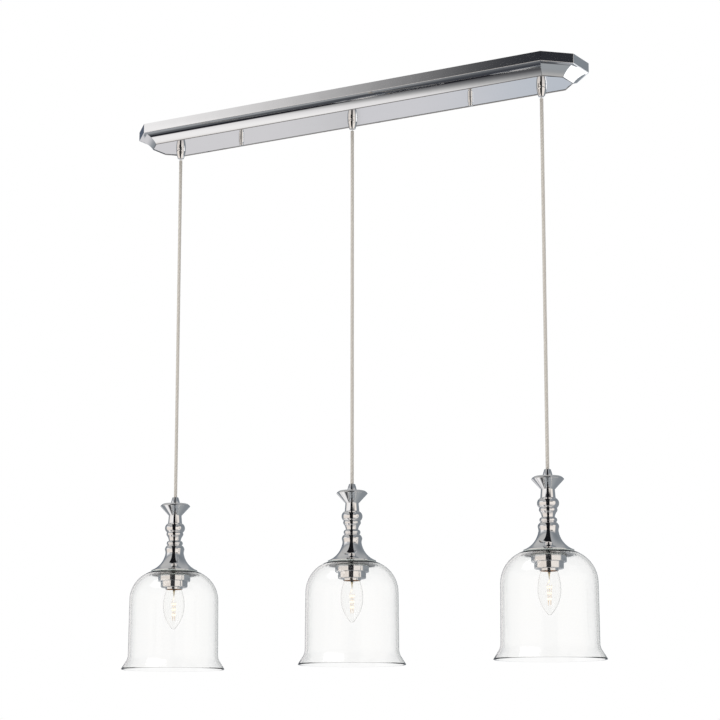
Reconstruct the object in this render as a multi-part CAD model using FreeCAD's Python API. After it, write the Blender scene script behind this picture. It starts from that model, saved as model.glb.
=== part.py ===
import FreeCAD, Part
import math
import os

# Linear island pendant, in millimetres. The origin is the centre of the ceiling face of the
# mounting bar, +X runs along the canopy, +Y across it and +Z up. Everything hangs below z = 0.

# Canopy: an open pan of plated sheet with cut corners, a flange, a cove and a flat plate
CANOPY_LENGTH = 762.0
CANOPY_WIDTH = 121.0
CANOPY_HEIGHT = 28.5
CANOPY_CORNER = 35.0
CORNER_ANGLE = 45.0
CANOPY_WALL = 1.0
FLANGE_HEIGHT = 14.2
FLANGE_LEDGE = 1.6
COVE_HOLLOW = 2.0
PLATE_INSET = 20.7
PLATE_EDGE_ROUND = 0.8

# Mounting bar against the ceiling, a strip with turned-down edges
BAR_LENGTH = 440.0
BAR_WIDTH = 34.0
BAR_THICKNESS = 1.6
BAR_EDGE_HEIGHT = 6.0
BOX_SCREW_SPACING = 88.9
BOX_SLOT_LENGTH = 14.0
BOX_SLOT_RADIUS = 2.4
BAR_CENTRE_HOLE_RADIUS = 5.2
GROUND_SCREW_X = 22.0
GROUND_SCREW_RADIUS = 2.0
GROUND_HEAD_RADIUS = 4.2
GROUND_HEAD_HEIGHT = 2.2

# Studs that hold the canopy to the bar, and the cap nuts on them
STUD_SPACING = 404.0
STUD_RADIUS = 2.0
STUD_INSET = 0.2
STUD_NUT_FLATS = 7.0
STUD_NUT_HEIGHT = 3.2
CAP_NUT_RADIUS = 4.0
CAP_NUT_BARREL = 8.6
CAP_NUT_GROOVE_RADIUS = 2.7
CAP_NUT_GROOVE = 1.2
CAP_NUT_BEAD_RADIUS = 3.4
CAP_NUT_BEAD_HEIGHT = 1.4
CAP_NUT_THREAD_DEPTH = 9.0

# Cord grips, the same on the canopy and on the pendants, with their threaded nipples
GRIP_LENGTH = 18.0
GRIP_BASE_RADIUS = 7.6
GRIP_WAIST_RADIUS = 7.0
GRIP_MOUTH_RADIUS = 4.7
GRIP_LIP = 0.8
GRIP_LIP_SWELL = 0.2
GRIP_SOCKET_DEPTH = 7.0
NIPPLE_RADIUS = 5.0
NIPPLE_BORE_RADIUS = 3.6
NIPPLE_REACH = 4.8
GRIP_NUT_FLATS = 14.0
GRIP_NUT_HEIGHT = 3.6

# Cords
PENDANT_SPACING = 317.5
CORD_RADIUS = 2.5
CORD_LENGTH = 539.5
LEAD_RADIUS = 1.2
LEAD_LEVEL = -16.5
LEAD_BEND_RADIUS = 5.5
LEAD_TRACK_Y = 11.0
LEAD_LANE_Y = 27.0
LEAD_ENTRY_RUN = 16.0
CONNECTOR_X = 96.0
CONNECTOR_LENGTH = 24.0
CONNECTOR_MOUTH_RADIUS = 6.4
CONNECTOR_TIP_RADIUS = 3.6
CONNECTOR_BORE_RADIUS = 4.2
CONNECTOR_BORE_DEPTH = 12.0

# Turned spindle, from the dished flare at its top to the hollow foot
FLARE_TOP_RADIUS = 17.5
FLARE_RADIUS = 22.9
FLARE_LIP_HEIGHT = 4.0
FLARE_TAPER_HEIGHT = 14.4
DISH_DEPTH = 8.0
DISH_FLOOR_RADIUS = 9.4
NECK_TOP_RADIUS = 9.7
NECK_FOOT_RADIUS = 10.7
NECK_HEIGHT = 11.9
LARGE_BEAD_RADIUS = 15.3
LARGE_BEAD_FOOT_RADIUS = 12.1
LARGE_BEAD_HEIGHT = 13.9
MIDDLE_BEAD_RADIUS = 12.9
MIDDLE_BEAD_FOOT_RADIUS = 12.1
MIDDLE_BEAD_HEIGHT = 5.1
TAPER_FOOT_RADIUS = 9.1
TAPER_HEIGHT = 7.9
SMALL_BEAD_RADIUS = 12.3
SMALL_BEAD_FOOT_RADIUS = 10.7
SMALL_BEAD_HEIGHT = 6.8
SHOULDER_RADIUS = 14.9
SHOULDER_HEIGHT = 6.6
SHOULDER_SWELL = 1.1
WAIST_RADIUS = 13.9
WAIST_HEIGHT = 5.8
WAIST_HOLLOW = 0.3
FOOT_RADIUS = 35.2
FOOT_HEIGHT = 26.0
FOOT_HOLLOW = 4.6
FOOT_EDGE = 1.1
FOOT_RIM = 3.0
FOOT_WALL = 2.2
BEAD_SHELL = 0.7

# Threaded tube through the spindle
TUBE_NUT_FLATS = 14.0
TUBE_NUT_HEIGHT = 3.2

# Socket cup under the spindle, and the ring that clamps the shade
CUP_RADIUS = 20.4
CUP_WALL = 1.2
CUP_RISE = 7.0
CUP_DROP = 25.0
CUP_ROUND = 1.6
RING_RADIUS = 24.6
RING_HEIGHT = 9.1
RING_ROUND = 1.5
GASKET_HEIGHT = 1.0

# Lamp holder
HOLDER_RADIUS = 13.0
HOLDER_LIP = 2.8
HOLDER_WALL = 1.1
HOLDER_MOUTH_DEPTH = 11.0
HOLDER_BORE_RADIUS = 6.9
HOLDER_FLOOR = 3.2
HOLDER_NECK_RADIUS = 8.0
SCREW_SHELL_WALL = 0.5
CONTACT_RADIUS = 2.6
CONTACT_HEIGHT = 0.9

# Glass bell shade
SHADE_HEIGHT = 148.2
SHADE_NECK_RADIUS = 36.0
SHADE_NECK_THICKNESS = 4.5
SHADE_WALL = 3.0
SHADE_SHOULDER_RADIUS = 67.6
SHADE_SHOULDER_HEIGHT = 44.0
SHADE_WALL_TAPER = 0.6
SHADE_RIM_RADIUS = 78.7
SHADE_FLARE_RADIUS = 18.0
SHADE_FLARE_ANGLE = 32.0

# Bulb
BULB_RADIUS = 16.2
BULB_GLASS_LENGTH = 71.5
BULB_NECK_RADIUS = 6.3
BULB_SHOULDER_LENGTH = 36.0
BULB_TIP_RADIUS = 3.5
BULB_GLASS_WALL = 0.8
BULB_BASE_RADIUS = 5.9
BULB_BASE_LENGTH = 13.0
BULB_INSULATOR_HEIGHT = 1.6
BULB_TIP_CONTACT_RADIUS = 2.2
BULB_TIP_CONTACT_HEIGHT = 1.0
STEM_RADIUS = 2.6
STEM_TIP_RADIUS = 1.2
STEM_LENGTH = 22.0
FILAMENT_DROP = 3.0
FILAMENT_TOP = 8.0
FILAMENT_HEIGHT = 28.0
FILAMENT_SPREAD = 3.6
FILAMENT_RADIUS = 0.35
FILAMENT_RUNS = 4

# Clearances
RUNNING_GAP = 0.3
THREAD_PLAY = 0.05
PLATE_HOLE_PLAY = 0.3
NECK_HOLE_PLAY = 0.9
GASKET_PLAY = 0.4
SAME_LEVEL = 0.05

SIDES = {"left": -1, "centre": 0, "right": 1}
UP = FreeCAD.Vector(0, 0, 1)
ORIGIN = FreeCAD.Vector(0, 0, 0)

PLATE_TOP = CANOPY_WALL - CANOPY_HEIGHT
CANOPY_MOUTH = -CANOPY_HEIGHT - GRIP_LENGTH
PENDANT_MOUTH = CANOPY_MOUTH - CORD_LENGTH
SPINDLE_TOP = PENDANT_MOUTH - GRIP_LENGTH + DISH_DEPTH
SPINDLE_STEPS = (
    FLARE_LIP_HEIGHT,
    FLARE_TAPER_HEIGHT,
    NECK_HEIGHT,
    LARGE_BEAD_HEIGHT,
    MIDDLE_BEAD_HEIGHT,
    TAPER_HEIGHT,
    SMALL_BEAD_HEIGHT,
    SHOULDER_HEIGHT,
    WAIST_HEIGHT,
    FOOT_HEIGHT,
    FOOT_EDGE,
)
FOOT_LEVEL = SPINDLE_TOP - sum(SPINDLE_STEPS)
CUP_TOP = FOOT_LEVEL + CUP_RISE
SHADE_TOP = FOOT_LEVEL - GASKET_HEIGHT
RING_TOP = SHADE_TOP - SHADE_NECK_THICKNESS - GASKET_HEIGHT
CUP_BOTTOM = FOOT_LEVEL - CUP_DROP
HOLDER_MOUTH = CUP_BOTTOM - HOLDER_LIP
BULB_GLASS_TOP = HOLDER_MOUTH + HOLDER_MOUTH_DEPTH - RUNNING_GAP
BULB_SEAT = BULB_GLASS_TOP + BULB_BASE_LENGTH + BULB_INSULATOR_HEIGHT + BULB_TIP_CONTACT_HEIGHT
HOLDER_TOP = BULB_SEAT + CONTACT_HEIGHT + HOLDER_FLOOR


def at(radius, level):
    """A point of a turned outline."""
    return FreeCAD.Vector(radius, 0, level)


def bulge(start, end, height):
    """An arc step of an outline, that stands a height clear of its chord on the right."""
    run = end[0] - start[0]
    rise = end[1] - start[1]
    chord = math.hypot(run, rise)
    middle = (
        (start[0] + end[0]) / 2 + rise / chord * height,
        (start[1] + end[1]) / 2 - run / chord * height,
    )
    return middle, end


def on_circle(centre, radius, angle):
    return (centre[0] + radius * math.cos(angle), centre[1] + radius * math.sin(angle))


def belly_radius(inset, height):
    """Radius of an arc that is upright at its belly and has drawn in by an inset a height away."""
    return (inset**2 + height**2) / (2 * inset)


def foot_round(side, level, radius):
    """An arc step that turns an upright side inwards on to a flat floor at a level."""
    centre = (side - radius, level + radius)
    return on_circle(centre, radius, -math.pi / 4), (centre[0], level)


def outline(start, steps):
    """A closed face in the XZ plane. A step is a corner, or a point on an arc and the arc's end."""
    edges = []
    here = start
    for step in list(steps) + [start]:
        if isinstance(step[0], tuple):
            through, there = step
            edges.append(Part.Arc(at(*here), at(*through), at(*there)).toShape())
        else:
            there = step
            edges.append(Part.makeLine(at(*here), at(*there)))
        here = there
    return Part.Face(Part.Wire(edges))


def turned(start, *steps):
    """A solid of revolution about the Z axis."""
    return outline(start, steps).revolve(ORIGIN, UP, 360)


def tube(outer, inner, top, bottom):
    return turned((inner, top), (outer, top), (outer, bottom), (inner, bottom))


def rod(radius, top, bottom):
    return Part.makeCylinder(radius, top - bottom, at(0, bottom))


def hex_nut(flats, bore, top, height):
    """A hexagonal nut about the Z axis, with its top face at the given level."""
    reach = flats / math.sqrt(3)
    sixth = math.pi / 3
    corners = [
        FreeCAD.Vector(*on_circle((0, 0), reach, corner * sixth), top - height)
        for corner in range(7)
    ]
    prism = Part.Face(Part.makePolygon(corners)).extrude(UP * height)
    return prism.cut(rod(bore, top, top - height))


def moved(shape, x=0.0, y=0.0, z=0.0):
    copy = shape.copy()
    copy.translate(FreeCAD.Vector(x, y, z))
    return copy


def upside_down(shape):
    copy = shape.copy()
    copy.rotate(ORIGIN, FreeCAD.Vector(1, 0, 0), 180)
    return copy


def row(shape, spacing, places=(-1, 0, 1)):
    """Copies of a shape along X, as one group of separate solids."""
    return Part.makeCompound([moved(shape, x=place * spacing) for place in places])


def canopy_section(half_width, top):
    """Half-open section of the canopy in the XZ plane, closed by a straight line at the top."""
    ledge = (half_width - FLANGE_LEDGE, -FLANGE_HEIGHT)
    plate = (half_width - PLATE_INSET, -CANOPY_HEIGHT)
    return outline(
        (-half_width, top),
        [
            (-half_width, -FLANGE_HEIGHT),
            (-ledge[0], ledge[1]),
            bulge((-ledge[0], ledge[1]), (-plate[0], plate[1]), -COVE_HOLLOW),
            plate,
            bulge(plate, ledge, -COVE_HOLLOW),
            (half_width, -FLANGE_HEIGHT),
            (half_width, top),
        ],
    )


def canopy_block(top, inset):
    """The canopy's outer form cut by four mitred runs of one section, each inset by a wall."""
    half_length = CANOPY_LENGTH / 2
    half_width = CANOPY_WIDTH / 2
    corner_end = FreeCAD.Vector(half_length, half_width - CANOPY_CORNER, 0)
    corner_normal = FreeCAD.Vector(*on_circle((0, 0), 1, math.radians(CORNER_ANGLE)), 0)
    half_corner = corner_end * corner_normal
    runs = [
        (half_length, 0),
        (half_width, 90),
        (half_corner, CORNER_ANGLE),
        (half_corner, -CORNER_ANGLE),
    ]
    block = None
    for half, angle in runs:
        section = canopy_section(half, top)
        if inset:
            section = Part.Face(section.OuterWire.makeOffset2D(-inset, 2))
        section.translate(FreeCAD.Vector(0, -CANOPY_LENGTH, 0))
        prism = section.extrude(FreeCAD.Vector(0, 2 * CANOPY_LENGTH, 0))
        prism.rotate(ORIGIN, UP, angle)
        block = prism if block is None else block.common(prism)
    return block


def softened(shape, level, radius):
    """Rounds the edges that lie flat at one level."""
    edges = [
        edge
        for edge in shape.Edges
        if all(abs(vertex.Z - level) < SAME_LEVEL for vertex in edge.Vertexes)
    ]
    return shape.makeFillet(radius, edges)


def canopy():
    pan = softened(canopy_block(0.0, 0.0), -CANOPY_HEIGHT, PLATE_EDGE_ROUND)
    pan = pan.cut(canopy_block(CANOPY_HEIGHT, CANOPY_WALL))
    nipple_hole = rod(NIPPLE_RADIUS + PLATE_HOLE_PLAY, 0, -2 * CANOPY_HEIGHT)
    stud_hole = rod(STUD_RADIUS + PLATE_HOLE_PLAY, 0, -2 * CANOPY_HEIGHT)
    pan = pan.cut(row(nipple_hole, PENDANT_SPACING))
    return pan.cut(row(stud_hole, STUD_SPACING / 2, (-1, 1)))


def slot(radius, length, depth):
    """A slot cutter along X, centred on the Z axis, from z = 0 down."""
    straight = length - 2 * radius
    block = Part.makeBox(straight, 2 * radius, depth, FreeCAD.Vector(-straight / 2, -radius, -depth))
    ends = row(rod(radius, 0, -depth), straight / 2, (-1, 1))
    return block.fuse(ends.Solids)


def mounting_bar():
    half_width = BAR_WIDTH / 2
    section = Part.makePolygon(
        [
            FreeCAD.Vector(-BAR_LENGTH / 2, y, z)
            for y, z in (
                (-half_width, 0),
                (half_width, 0),
                (half_width, -BAR_EDGE_HEIGHT),
                (half_width - BAR_THICKNESS, -BAR_EDGE_HEIGHT),
                (half_width - BAR_THICKNESS, -BAR_THICKNESS),
                (BAR_THICKNESS - half_width, -BAR_THICKNESS),
                (BAR_THICKNESS - half_width, -BAR_EDGE_HEIGHT),
                (-half_width, -BAR_EDGE_HEIGHT),
                (-half_width, 0),
            )
        ]
    )
    bar = Part.Face(section).extrude(FreeCAD.Vector(BAR_LENGTH, 0, 0))
    box_slot = slot(BOX_SLOT_RADIUS, BOX_SLOT_LENGTH, BAR_THICKNESS)
    bar = bar.cut(row(box_slot, BOX_SCREW_SPACING / 2, (-1, 1)))
    bar = bar.cut(rod(BAR_CENTRE_HOLE_RADIUS, 0, -BAR_THICKNESS))
    bar = bar.cut(row(rod(STUD_RADIUS + THREAD_PLAY, 0, -BAR_THICKNESS), STUD_SPACING / 2, (-1, 1)))
    ground_hole = rod(GROUND_SCREW_RADIUS + THREAD_PLAY, 0, -BAR_THICKNESS)
    return bar.cut(moved(ground_hole, x=GROUND_SCREW_X))


def ground_screw():
    """Its head is under the bar, and its end stays just below the ceiling face."""
    seat = -BAR_THICKNESS
    head = rod(GROUND_HEAD_RADIUS, seat, seat - GROUND_HEAD_HEIGHT)
    shank = rod(GROUND_SCREW_RADIUS, -STUD_INSET, seat)
    return moved(head.fuse(shank), x=GROUND_SCREW_X)


def finial_studs():
    stud = rod(STUD_RADIUS, -STUD_INSET, -CANOPY_HEIGHT - CAP_NUT_THREAD_DEPTH + RUNNING_GAP)
    return row(stud, STUD_SPACING / 2, (-1, 1))


def stud_nuts():
    nut = hex_nut(STUD_NUT_FLATS, STUD_RADIUS + THREAD_PLAY, -BAR_THICKNESS, STUD_NUT_HEIGHT)
    return row(nut, STUD_SPACING / 2, (-1, 1))


def cap_nuts():
    """Barrel, groove, bead and domed tip, screwed up against the plate."""
    barrel_end = -CANOPY_HEIGHT - CAP_NUT_BARREL
    groove_end = barrel_end - CAP_NUT_GROOVE
    bead_end = groove_end - CAP_NUT_BEAD_HEIGHT
    bore = STUD_RADIUS + THREAD_PLAY
    blind = -CANOPY_HEIGHT - CAP_NUT_THREAD_DEPTH
    nut = turned(
        (bore, -CANOPY_HEIGHT),
        (CAP_NUT_RADIUS, -CANOPY_HEIGHT),
        (CAP_NUT_RADIUS, barrel_end),
        (CAP_NUT_GROOVE_RADIUS, barrel_end),
        (CAP_NUT_GROOVE_RADIUS, groove_end),
        (CAP_NUT_BEAD_RADIUS, groove_end),
        (CAP_NUT_BEAD_RADIUS, bead_end),
        foot_round(CAP_NUT_BEAD_RADIUS, bead_end - CAP_NUT_BEAD_RADIUS, CAP_NUT_BEAD_RADIUS),
        (0, blind),
        (bore, blind),
    )
    return row(nut, STUD_SPACING / 2, (-1, 1))


def cord_grip():
    """Stands on z = 0 with its mouth up: a bullet-shaped sleeve with a threaded socket below."""
    cord_bore = CORD_RADIUS + THREAD_PLAY
    socket = NIPPLE_RADIUS + THREAD_PLAY
    lip = (GRIP_MOUTH_RADIUS, GRIP_LENGTH - GRIP_LIP)
    mouth = (GRIP_MOUTH_RADIUS - GRIP_LIP, GRIP_LENGTH)
    return turned(
        (socket, 0),
        (GRIP_BASE_RADIUS, 0),
        ((GRIP_WAIST_RADIUS, GRIP_LENGTH / 2), lip),
        bulge(lip, mouth, GRIP_LIP_SWELL),
        (cord_bore, GRIP_LENGTH),
        (cord_bore, GRIP_SOCKET_DEPTH),
        (socket, GRIP_SOCKET_DEPTH),
    )


def canopy_grips():
    return row(moved(upside_down(cord_grip()), z=-CANOPY_HEIGHT), PENDANT_SPACING)


def grip_nipples():
    top = PLATE_TOP + NIPPLE_REACH
    bottom = -CANOPY_HEIGHT - GRIP_SOCKET_DEPTH + RUNNING_GAP
    return row(tube(NIPPLE_RADIUS, NIPPLE_BORE_RADIUS, top, bottom), PENDANT_SPACING)


def grip_nuts():
    top = PLATE_TOP + GRIP_NUT_HEIGHT
    nut = hex_nut(GRIP_NUT_FLATS, NIPPLE_RADIUS + THREAD_PLAY, top, GRIP_NUT_HEIGHT)
    return row(nut, PENDANT_SPACING)


def routed(points, radius, bend):
    """A round wire along straight runs, joined at each inner point by an arc tangent to both."""
    edges = []
    here = points[0]
    for before, corner, after in zip(points, points[1:], points[2:]):
        back = (before - corner).normalize()
        onward = (after - corner).normalize()
        half_angle = back.getAngle(onward) / 2
        reach = bend / math.tan(half_angle)
        start = corner + back * reach
        end = corner + onward * reach
        inward = (back + onward).normalize()
        middle = corner + inward * (bend / math.sin(half_angle) - bend)
        edges.append(Part.makeLine(here, start))
        edges.append(Part.Arc(start, middle, end).toShape())
        here = end
    edges.append(Part.makeLine(here, points[-1]))
    path = Part.Wire(edges)
    section = Part.Wire(Part.makeCircle(radius, points[0], points[1] - points[0]))
    return path.makePipeShell([section], True, False)


def lead(place, side, stack):
    """One conductor: up out of its nipple, along the canopy and into the connector on its side.
    Those of the right cord pass the connector on an outer lane and turn back into its mouth."""
    x = place * PENDANT_SPACING
    apart = LEAD_RADIUS + THREAD_PLAY
    level = LEAD_LEVEL + stack * (LEAD_RADIUS + apart)
    entry = side * (LEAD_TRACK_Y + place * apart)
    route = [FreeCAD.Vector(x, side * apart, PLATE_TOP), FreeCAD.Vector(x, side * apart, level)]
    if place > 0:
        lane = side * LEAD_LANE_Y
        turn = CONNECTOR_X - LEAD_ENTRY_RUN
        route.append(FreeCAD.Vector(x - LEAD_ENTRY_RUN, lane, level))
        route.append(FreeCAD.Vector(turn, lane, level))
        route.append(FreeCAD.Vector(turn, entry, level))
    else:
        route.append(FreeCAD.Vector(x + LEAD_ENTRY_RUN, entry, level))
    route.append(FreeCAD.Vector(CONNECTOR_X + CONNECTOR_BORE_DEPTH, entry, level))
    return routed(route, LEAD_RADIUS, LEAD_BEND_RADIUS)


def canopy_leads():
    """Each cord's jacket ends level with the plate, and its two conductors go on to the connectors.
    Those of the centre cord run above the others."""
    stacks = {-1: 0, 0: 1, 1: 0}
    pieces = []
    for place in SIDES.values():
        jacket = rod(CORD_RADIUS, PLATE_TOP, CANOPY_MOUTH)
        pieces.append(moved(jacket, x=place * PENDANT_SPACING))
        for side in (-1, 1):
            pieces.append(lead(place, side, stacks[place]))
    return Part.makeCompound(pieces)


def wire_connectors():
    """Two conical twist-on connectors that lie along X, with their mouths towards -X."""
    shell = turned(
        (CONNECTOR_BORE_RADIUS, 0),
        (CONNECTOR_MOUTH_RADIUS, 0),
        (CONNECTOR_TIP_RADIUS, CONNECTOR_LENGTH),
        (0, CONNECTOR_LENGTH),
        (0, CONNECTOR_BORE_DEPTH),
        (CONNECTOR_BORE_RADIUS, CONNECTOR_BORE_DEPTH),
    )
    shell.rotate(ORIGIN, FreeCAD.Vector(0, 1, 0), 90)
    level = LEAD_LEVEL + LEAD_RADIUS
    return Part.makeCompound(
        [moved(shell, CONNECTOR_X, side * LEAD_TRACK_Y, level) for side in (-1, 1)]
    )


def cord_bead():
    """The bend of the cord at the canopy grip, as a ball that both swings turn about."""
    return Part.makeSphere(CORD_RADIUS, at(0, CANOPY_MOUTH - CORD_RADIUS - RUNNING_GAP))


def cord():
    """The straight run of the cord, with a hollow end that rides round the bend's ball."""
    pivot = CANOPY_MOUTH - CORD_RADIUS - RUNNING_GAP
    socket = Part.makeSphere(CORD_RADIUS + RUNNING_GAP, at(0, pivot))
    return rod(CORD_RADIUS, pivot, PENDANT_MOUTH).cut(socket)


def pendant_grip():
    return moved(cord_grip(), z=SPINDLE_TOP - DISH_DEPTH)


def inner_cord():
    """The cord goes on through the grip and the threaded tube to the lamp holder."""
    return rod(CORD_RADIUS, PENDANT_MOUTH, HOLDER_TOP)


def spindle_levels():
    """The level below each step of the spindle's outline."""
    levels = []
    level = SPINDLE_TOP
    for step in SPINDLE_STEPS:
        level -= step
        levels.append(level)
    return levels


def spindle():
    flare, taper, neck, large, middle, slope, small, shoulder, waist, foot, edge = spindle_levels()
    bore = NIPPLE_RADIUS + THREAD_PLAY
    dish = SPINDLE_TOP - DISH_DEPTH
    large_foot = (LARGE_BEAD_FOOT_RADIUS, large)
    middle_foot = (MIDDLE_BEAD_FOOT_RADIUS, middle)
    slope_foot = (TAPER_FOOT_RADIUS, slope)
    small_foot = (SMALL_BEAD_FOOT_RADIUS, small)
    shoulder_foot = (SHOULDER_RADIUS, shoulder)
    waist_foot = (WAIST_RADIUS, waist)
    hollow_rim = (FOOT_RADIUS - FOOT_RIM, edge)
    hollow_top = (WAIST_RADIUS - FOOT_WALL, waist - FOOT_WALL)
    return turned(
        (DISH_FLOOR_RADIUS, dish),
        (FLARE_TOP_RADIUS, SPINDLE_TOP),
        bulge((FLARE_TOP_RADIUS, SPINDLE_TOP), (FLARE_RADIUS, flare), -BEAD_SHELL),
        (NECK_TOP_RADIUS, taper),
        (NECK_FOOT_RADIUS, neck),
        ((LARGE_BEAD_RADIUS, (neck + large) / 2), large_foot),
        ((MIDDLE_BEAD_RADIUS, (large + middle) / 2), middle_foot),
        bulge(middle_foot, slope_foot, BEAD_SHELL),
        ((SMALL_BEAD_RADIUS, (slope + small) / 2), small_foot),
        bulge(small_foot, shoulder_foot, -SHOULDER_SWELL),
        bulge(shoulder_foot, waist_foot, WAIST_HOLLOW),
        bulge(waist_foot, (FOOT_RADIUS, foot), FOOT_HOLLOW),
        (FOOT_RADIUS, edge),
        hollow_rim,
        bulge(hollow_rim, hollow_top, -FOOT_HOLLOW),
        (bore, hollow_top[1]),
        (bore, dish),
    )


def lamp_tube():
    """From the socket of the cord grip down into the neck of the lamp holder, with its two nuts:
    one holds the spindle, and the other clamps the socket cup against the lamp holder."""
    tube_top = SPINDLE_TOP - DISH_DEPTH + GRIP_SOCKET_DEPTH - RUNNING_GAP
    bore = NIPPLE_RADIUS + THREAD_PLAY
    hollow_top = spindle_levels()[-3] - FOOT_WALL
    nut_tops = (hollow_top, CUP_TOP + TUBE_NUT_HEIGHT)
    nuts = [hex_nut(TUBE_NUT_FLATS, bore, top, TUBE_NUT_HEIGHT) for top in nut_tops]
    return Part.makeCompound([tube(NIPPLE_RADIUS, NIPPLE_BORE_RADIUS, tube_top, HOLDER_TOP)] + nuts)


def socket_cup():
    """A drawn cup with a flat top round the tube and a floor round the lamp holder."""
    inner = CUP_RADIUS - CUP_WALL
    floor_hole = HOLDER_RADIUS + RUNNING_GAP
    tube_hole = NIPPLE_RADIUS + THREAD_PLAY
    return turned(
        (tube_hole, CUP_TOP),
        (CUP_RADIUS, CUP_TOP),
        (CUP_RADIUS, CUP_BOTTOM + CUP_ROUND),
        foot_round(CUP_RADIUS, CUP_BOTTOM, CUP_ROUND),
        (floor_hole, CUP_BOTTOM),
        (floor_hole, CUP_BOTTOM + CUP_WALL),
        (inner, CUP_BOTTOM + CUP_WALL),
        (inner, CUP_TOP - CUP_WALL),
        (tube_hole, CUP_TOP - CUP_WALL),
    )


def lamp_holder():
    """A moulded holder: wide mouth below, bore for the screw shell, neck on the threaded tube."""
    mouth_bore = HOLDER_RADIUS - HOLDER_WALL
    step = HOLDER_MOUTH + HOLDER_MOUTH_DEPTH
    floor = BULB_SEAT + CONTACT_HEIGHT
    neck_top = CUP_TOP - CUP_WALL
    socket = NIPPLE_RADIUS + THREAD_PLAY
    return turned(
        (0, HOLDER_TOP),
        (socket, HOLDER_TOP),
        (socket, neck_top),
        (HOLDER_NECK_RADIUS, neck_top),
        (HOLDER_NECK_RADIUS, HOLDER_TOP),
        (HOLDER_RADIUS, HOLDER_TOP),
        (HOLDER_RADIUS, HOLDER_MOUTH),
        (mouth_bore, HOLDER_MOUTH),
        (mouth_bore, step),
        (HOLDER_BORE_RADIUS, step),
        (HOLDER_BORE_RADIUS, floor),
        (0, floor),
    )


def socket_contacts():
    """The screw shell that lines the holder's bore, and the centre contact on its floor."""
    outer = HOLDER_BORE_RADIUS - THREAD_PLAY
    step = HOLDER_MOUTH + HOLDER_MOUTH_DEPTH
    shell = tube(outer, outer - SCREW_SHELL_WALL, BULB_SEAT + CONTACT_HEIGHT, step)
    centre = rod(CONTACT_RADIUS, BULB_SEAT + CONTACT_HEIGHT, BULB_SEAT)
    return Part.makeCompound([shell, centre])


def shade_outline(offset):
    """The named points of the bell's outline, moved inwards by an offset."""
    arc = belly_radius(SHADE_SHOULDER_RADIUS - SHADE_NECK_RADIUS, SHADE_SHOULDER_HEIGHT)
    centre = (SHADE_SHOULDER_RADIUS - arc, SHADE_TOP - SHADE_SHOULDER_HEIGHT)
    neck_level = SHADE_TOP - (SHADE_NECK_THICKNESS if offset else 0)
    neck_angle = math.asin((neck_level - centre[1]) / (arc - offset))
    rim_level = SHADE_TOP - SHADE_HEIGHT
    turn = math.radians(SHADE_FLARE_ANGLE)
    wall_foot = SHADE_SHOULDER_RADIUS + SHADE_WALL_TAPER
    slope_width = SHADE_RIM_RADIUS - wall_foot - SHADE_FLARE_RADIUS * (1 - math.cos(turn))
    flare_top = rim_level + slope_width / math.tan(turn) + SHADE_FLARE_RADIUS * math.sin(turn)
    flare_centre = (wall_foot + SHADE_FLARE_RADIUS, flare_top)
    flare = SHADE_FLARE_RADIUS + offset
    return {
        "neck": on_circle(centre, arc - offset, neck_angle),
        "shoulder_middle": on_circle(centre, arc - offset, neck_angle / 2),
        "shoulder_foot": on_circle(centre, arc - offset, 0),
        "flare_top": on_circle(flare_centre, flare, math.pi),
        "flare_middle": on_circle(flare_centre, flare, math.pi + turn / 2),
        "flare_foot": on_circle(flare_centre, flare, math.pi + turn),
        "rim": (SHADE_RIM_RADIUS - offset / math.cos(turn), rim_level),
    }


def shade():
    """A blown bell with a flat thick neck, open below."""
    neck_hole = CUP_RADIUS + NECK_HOLE_PLAY
    outside = shade_outline(0)
    inside = shade_outline(SHADE_WALL)
    return turned(
        (neck_hole, SHADE_TOP),
        outside["neck"],
        (outside["shoulder_middle"], outside["shoulder_foot"]),
        outside["flare_top"],
        (outside["flare_middle"], outside["flare_foot"]),
        outside["rim"],
        inside["rim"],
        inside["flare_foot"],
        (inside["flare_middle"], inside["flare_top"]),
        inside["shoulder_foot"],
        (inside["shoulder_middle"], inside["neck"]),
        (neck_hole, inside["neck"][1]),
    )


def shade_gaskets():
    """One between the spindle's foot and the glass, one between the glass and the ring."""
    inner = CUP_RADIUS + GASKET_PLAY
    upper = tube(FOOT_RADIUS - GASKET_PLAY, inner, FOOT_LEVEL, SHADE_TOP)
    lower = tube(RING_RADIUS - GASKET_PLAY, inner, RING_TOP + GASKET_HEIGHT, RING_TOP)
    return Part.makeCompound([upper, lower])


def retaining_ring():
    """Screws up the socket cup from below and clamps the glass."""
    bottom = RING_TOP - RING_HEIGHT
    inner = CUP_RADIUS + THREAD_PLAY
    return turned(
        (inner, RING_TOP),
        (RING_RADIUS, RING_TOP),
        (RING_RADIUS, bottom + RING_ROUND),
        foot_round(RING_RADIUS, bottom, RING_ROUND),
        (inner, bottom),
    )


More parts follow.
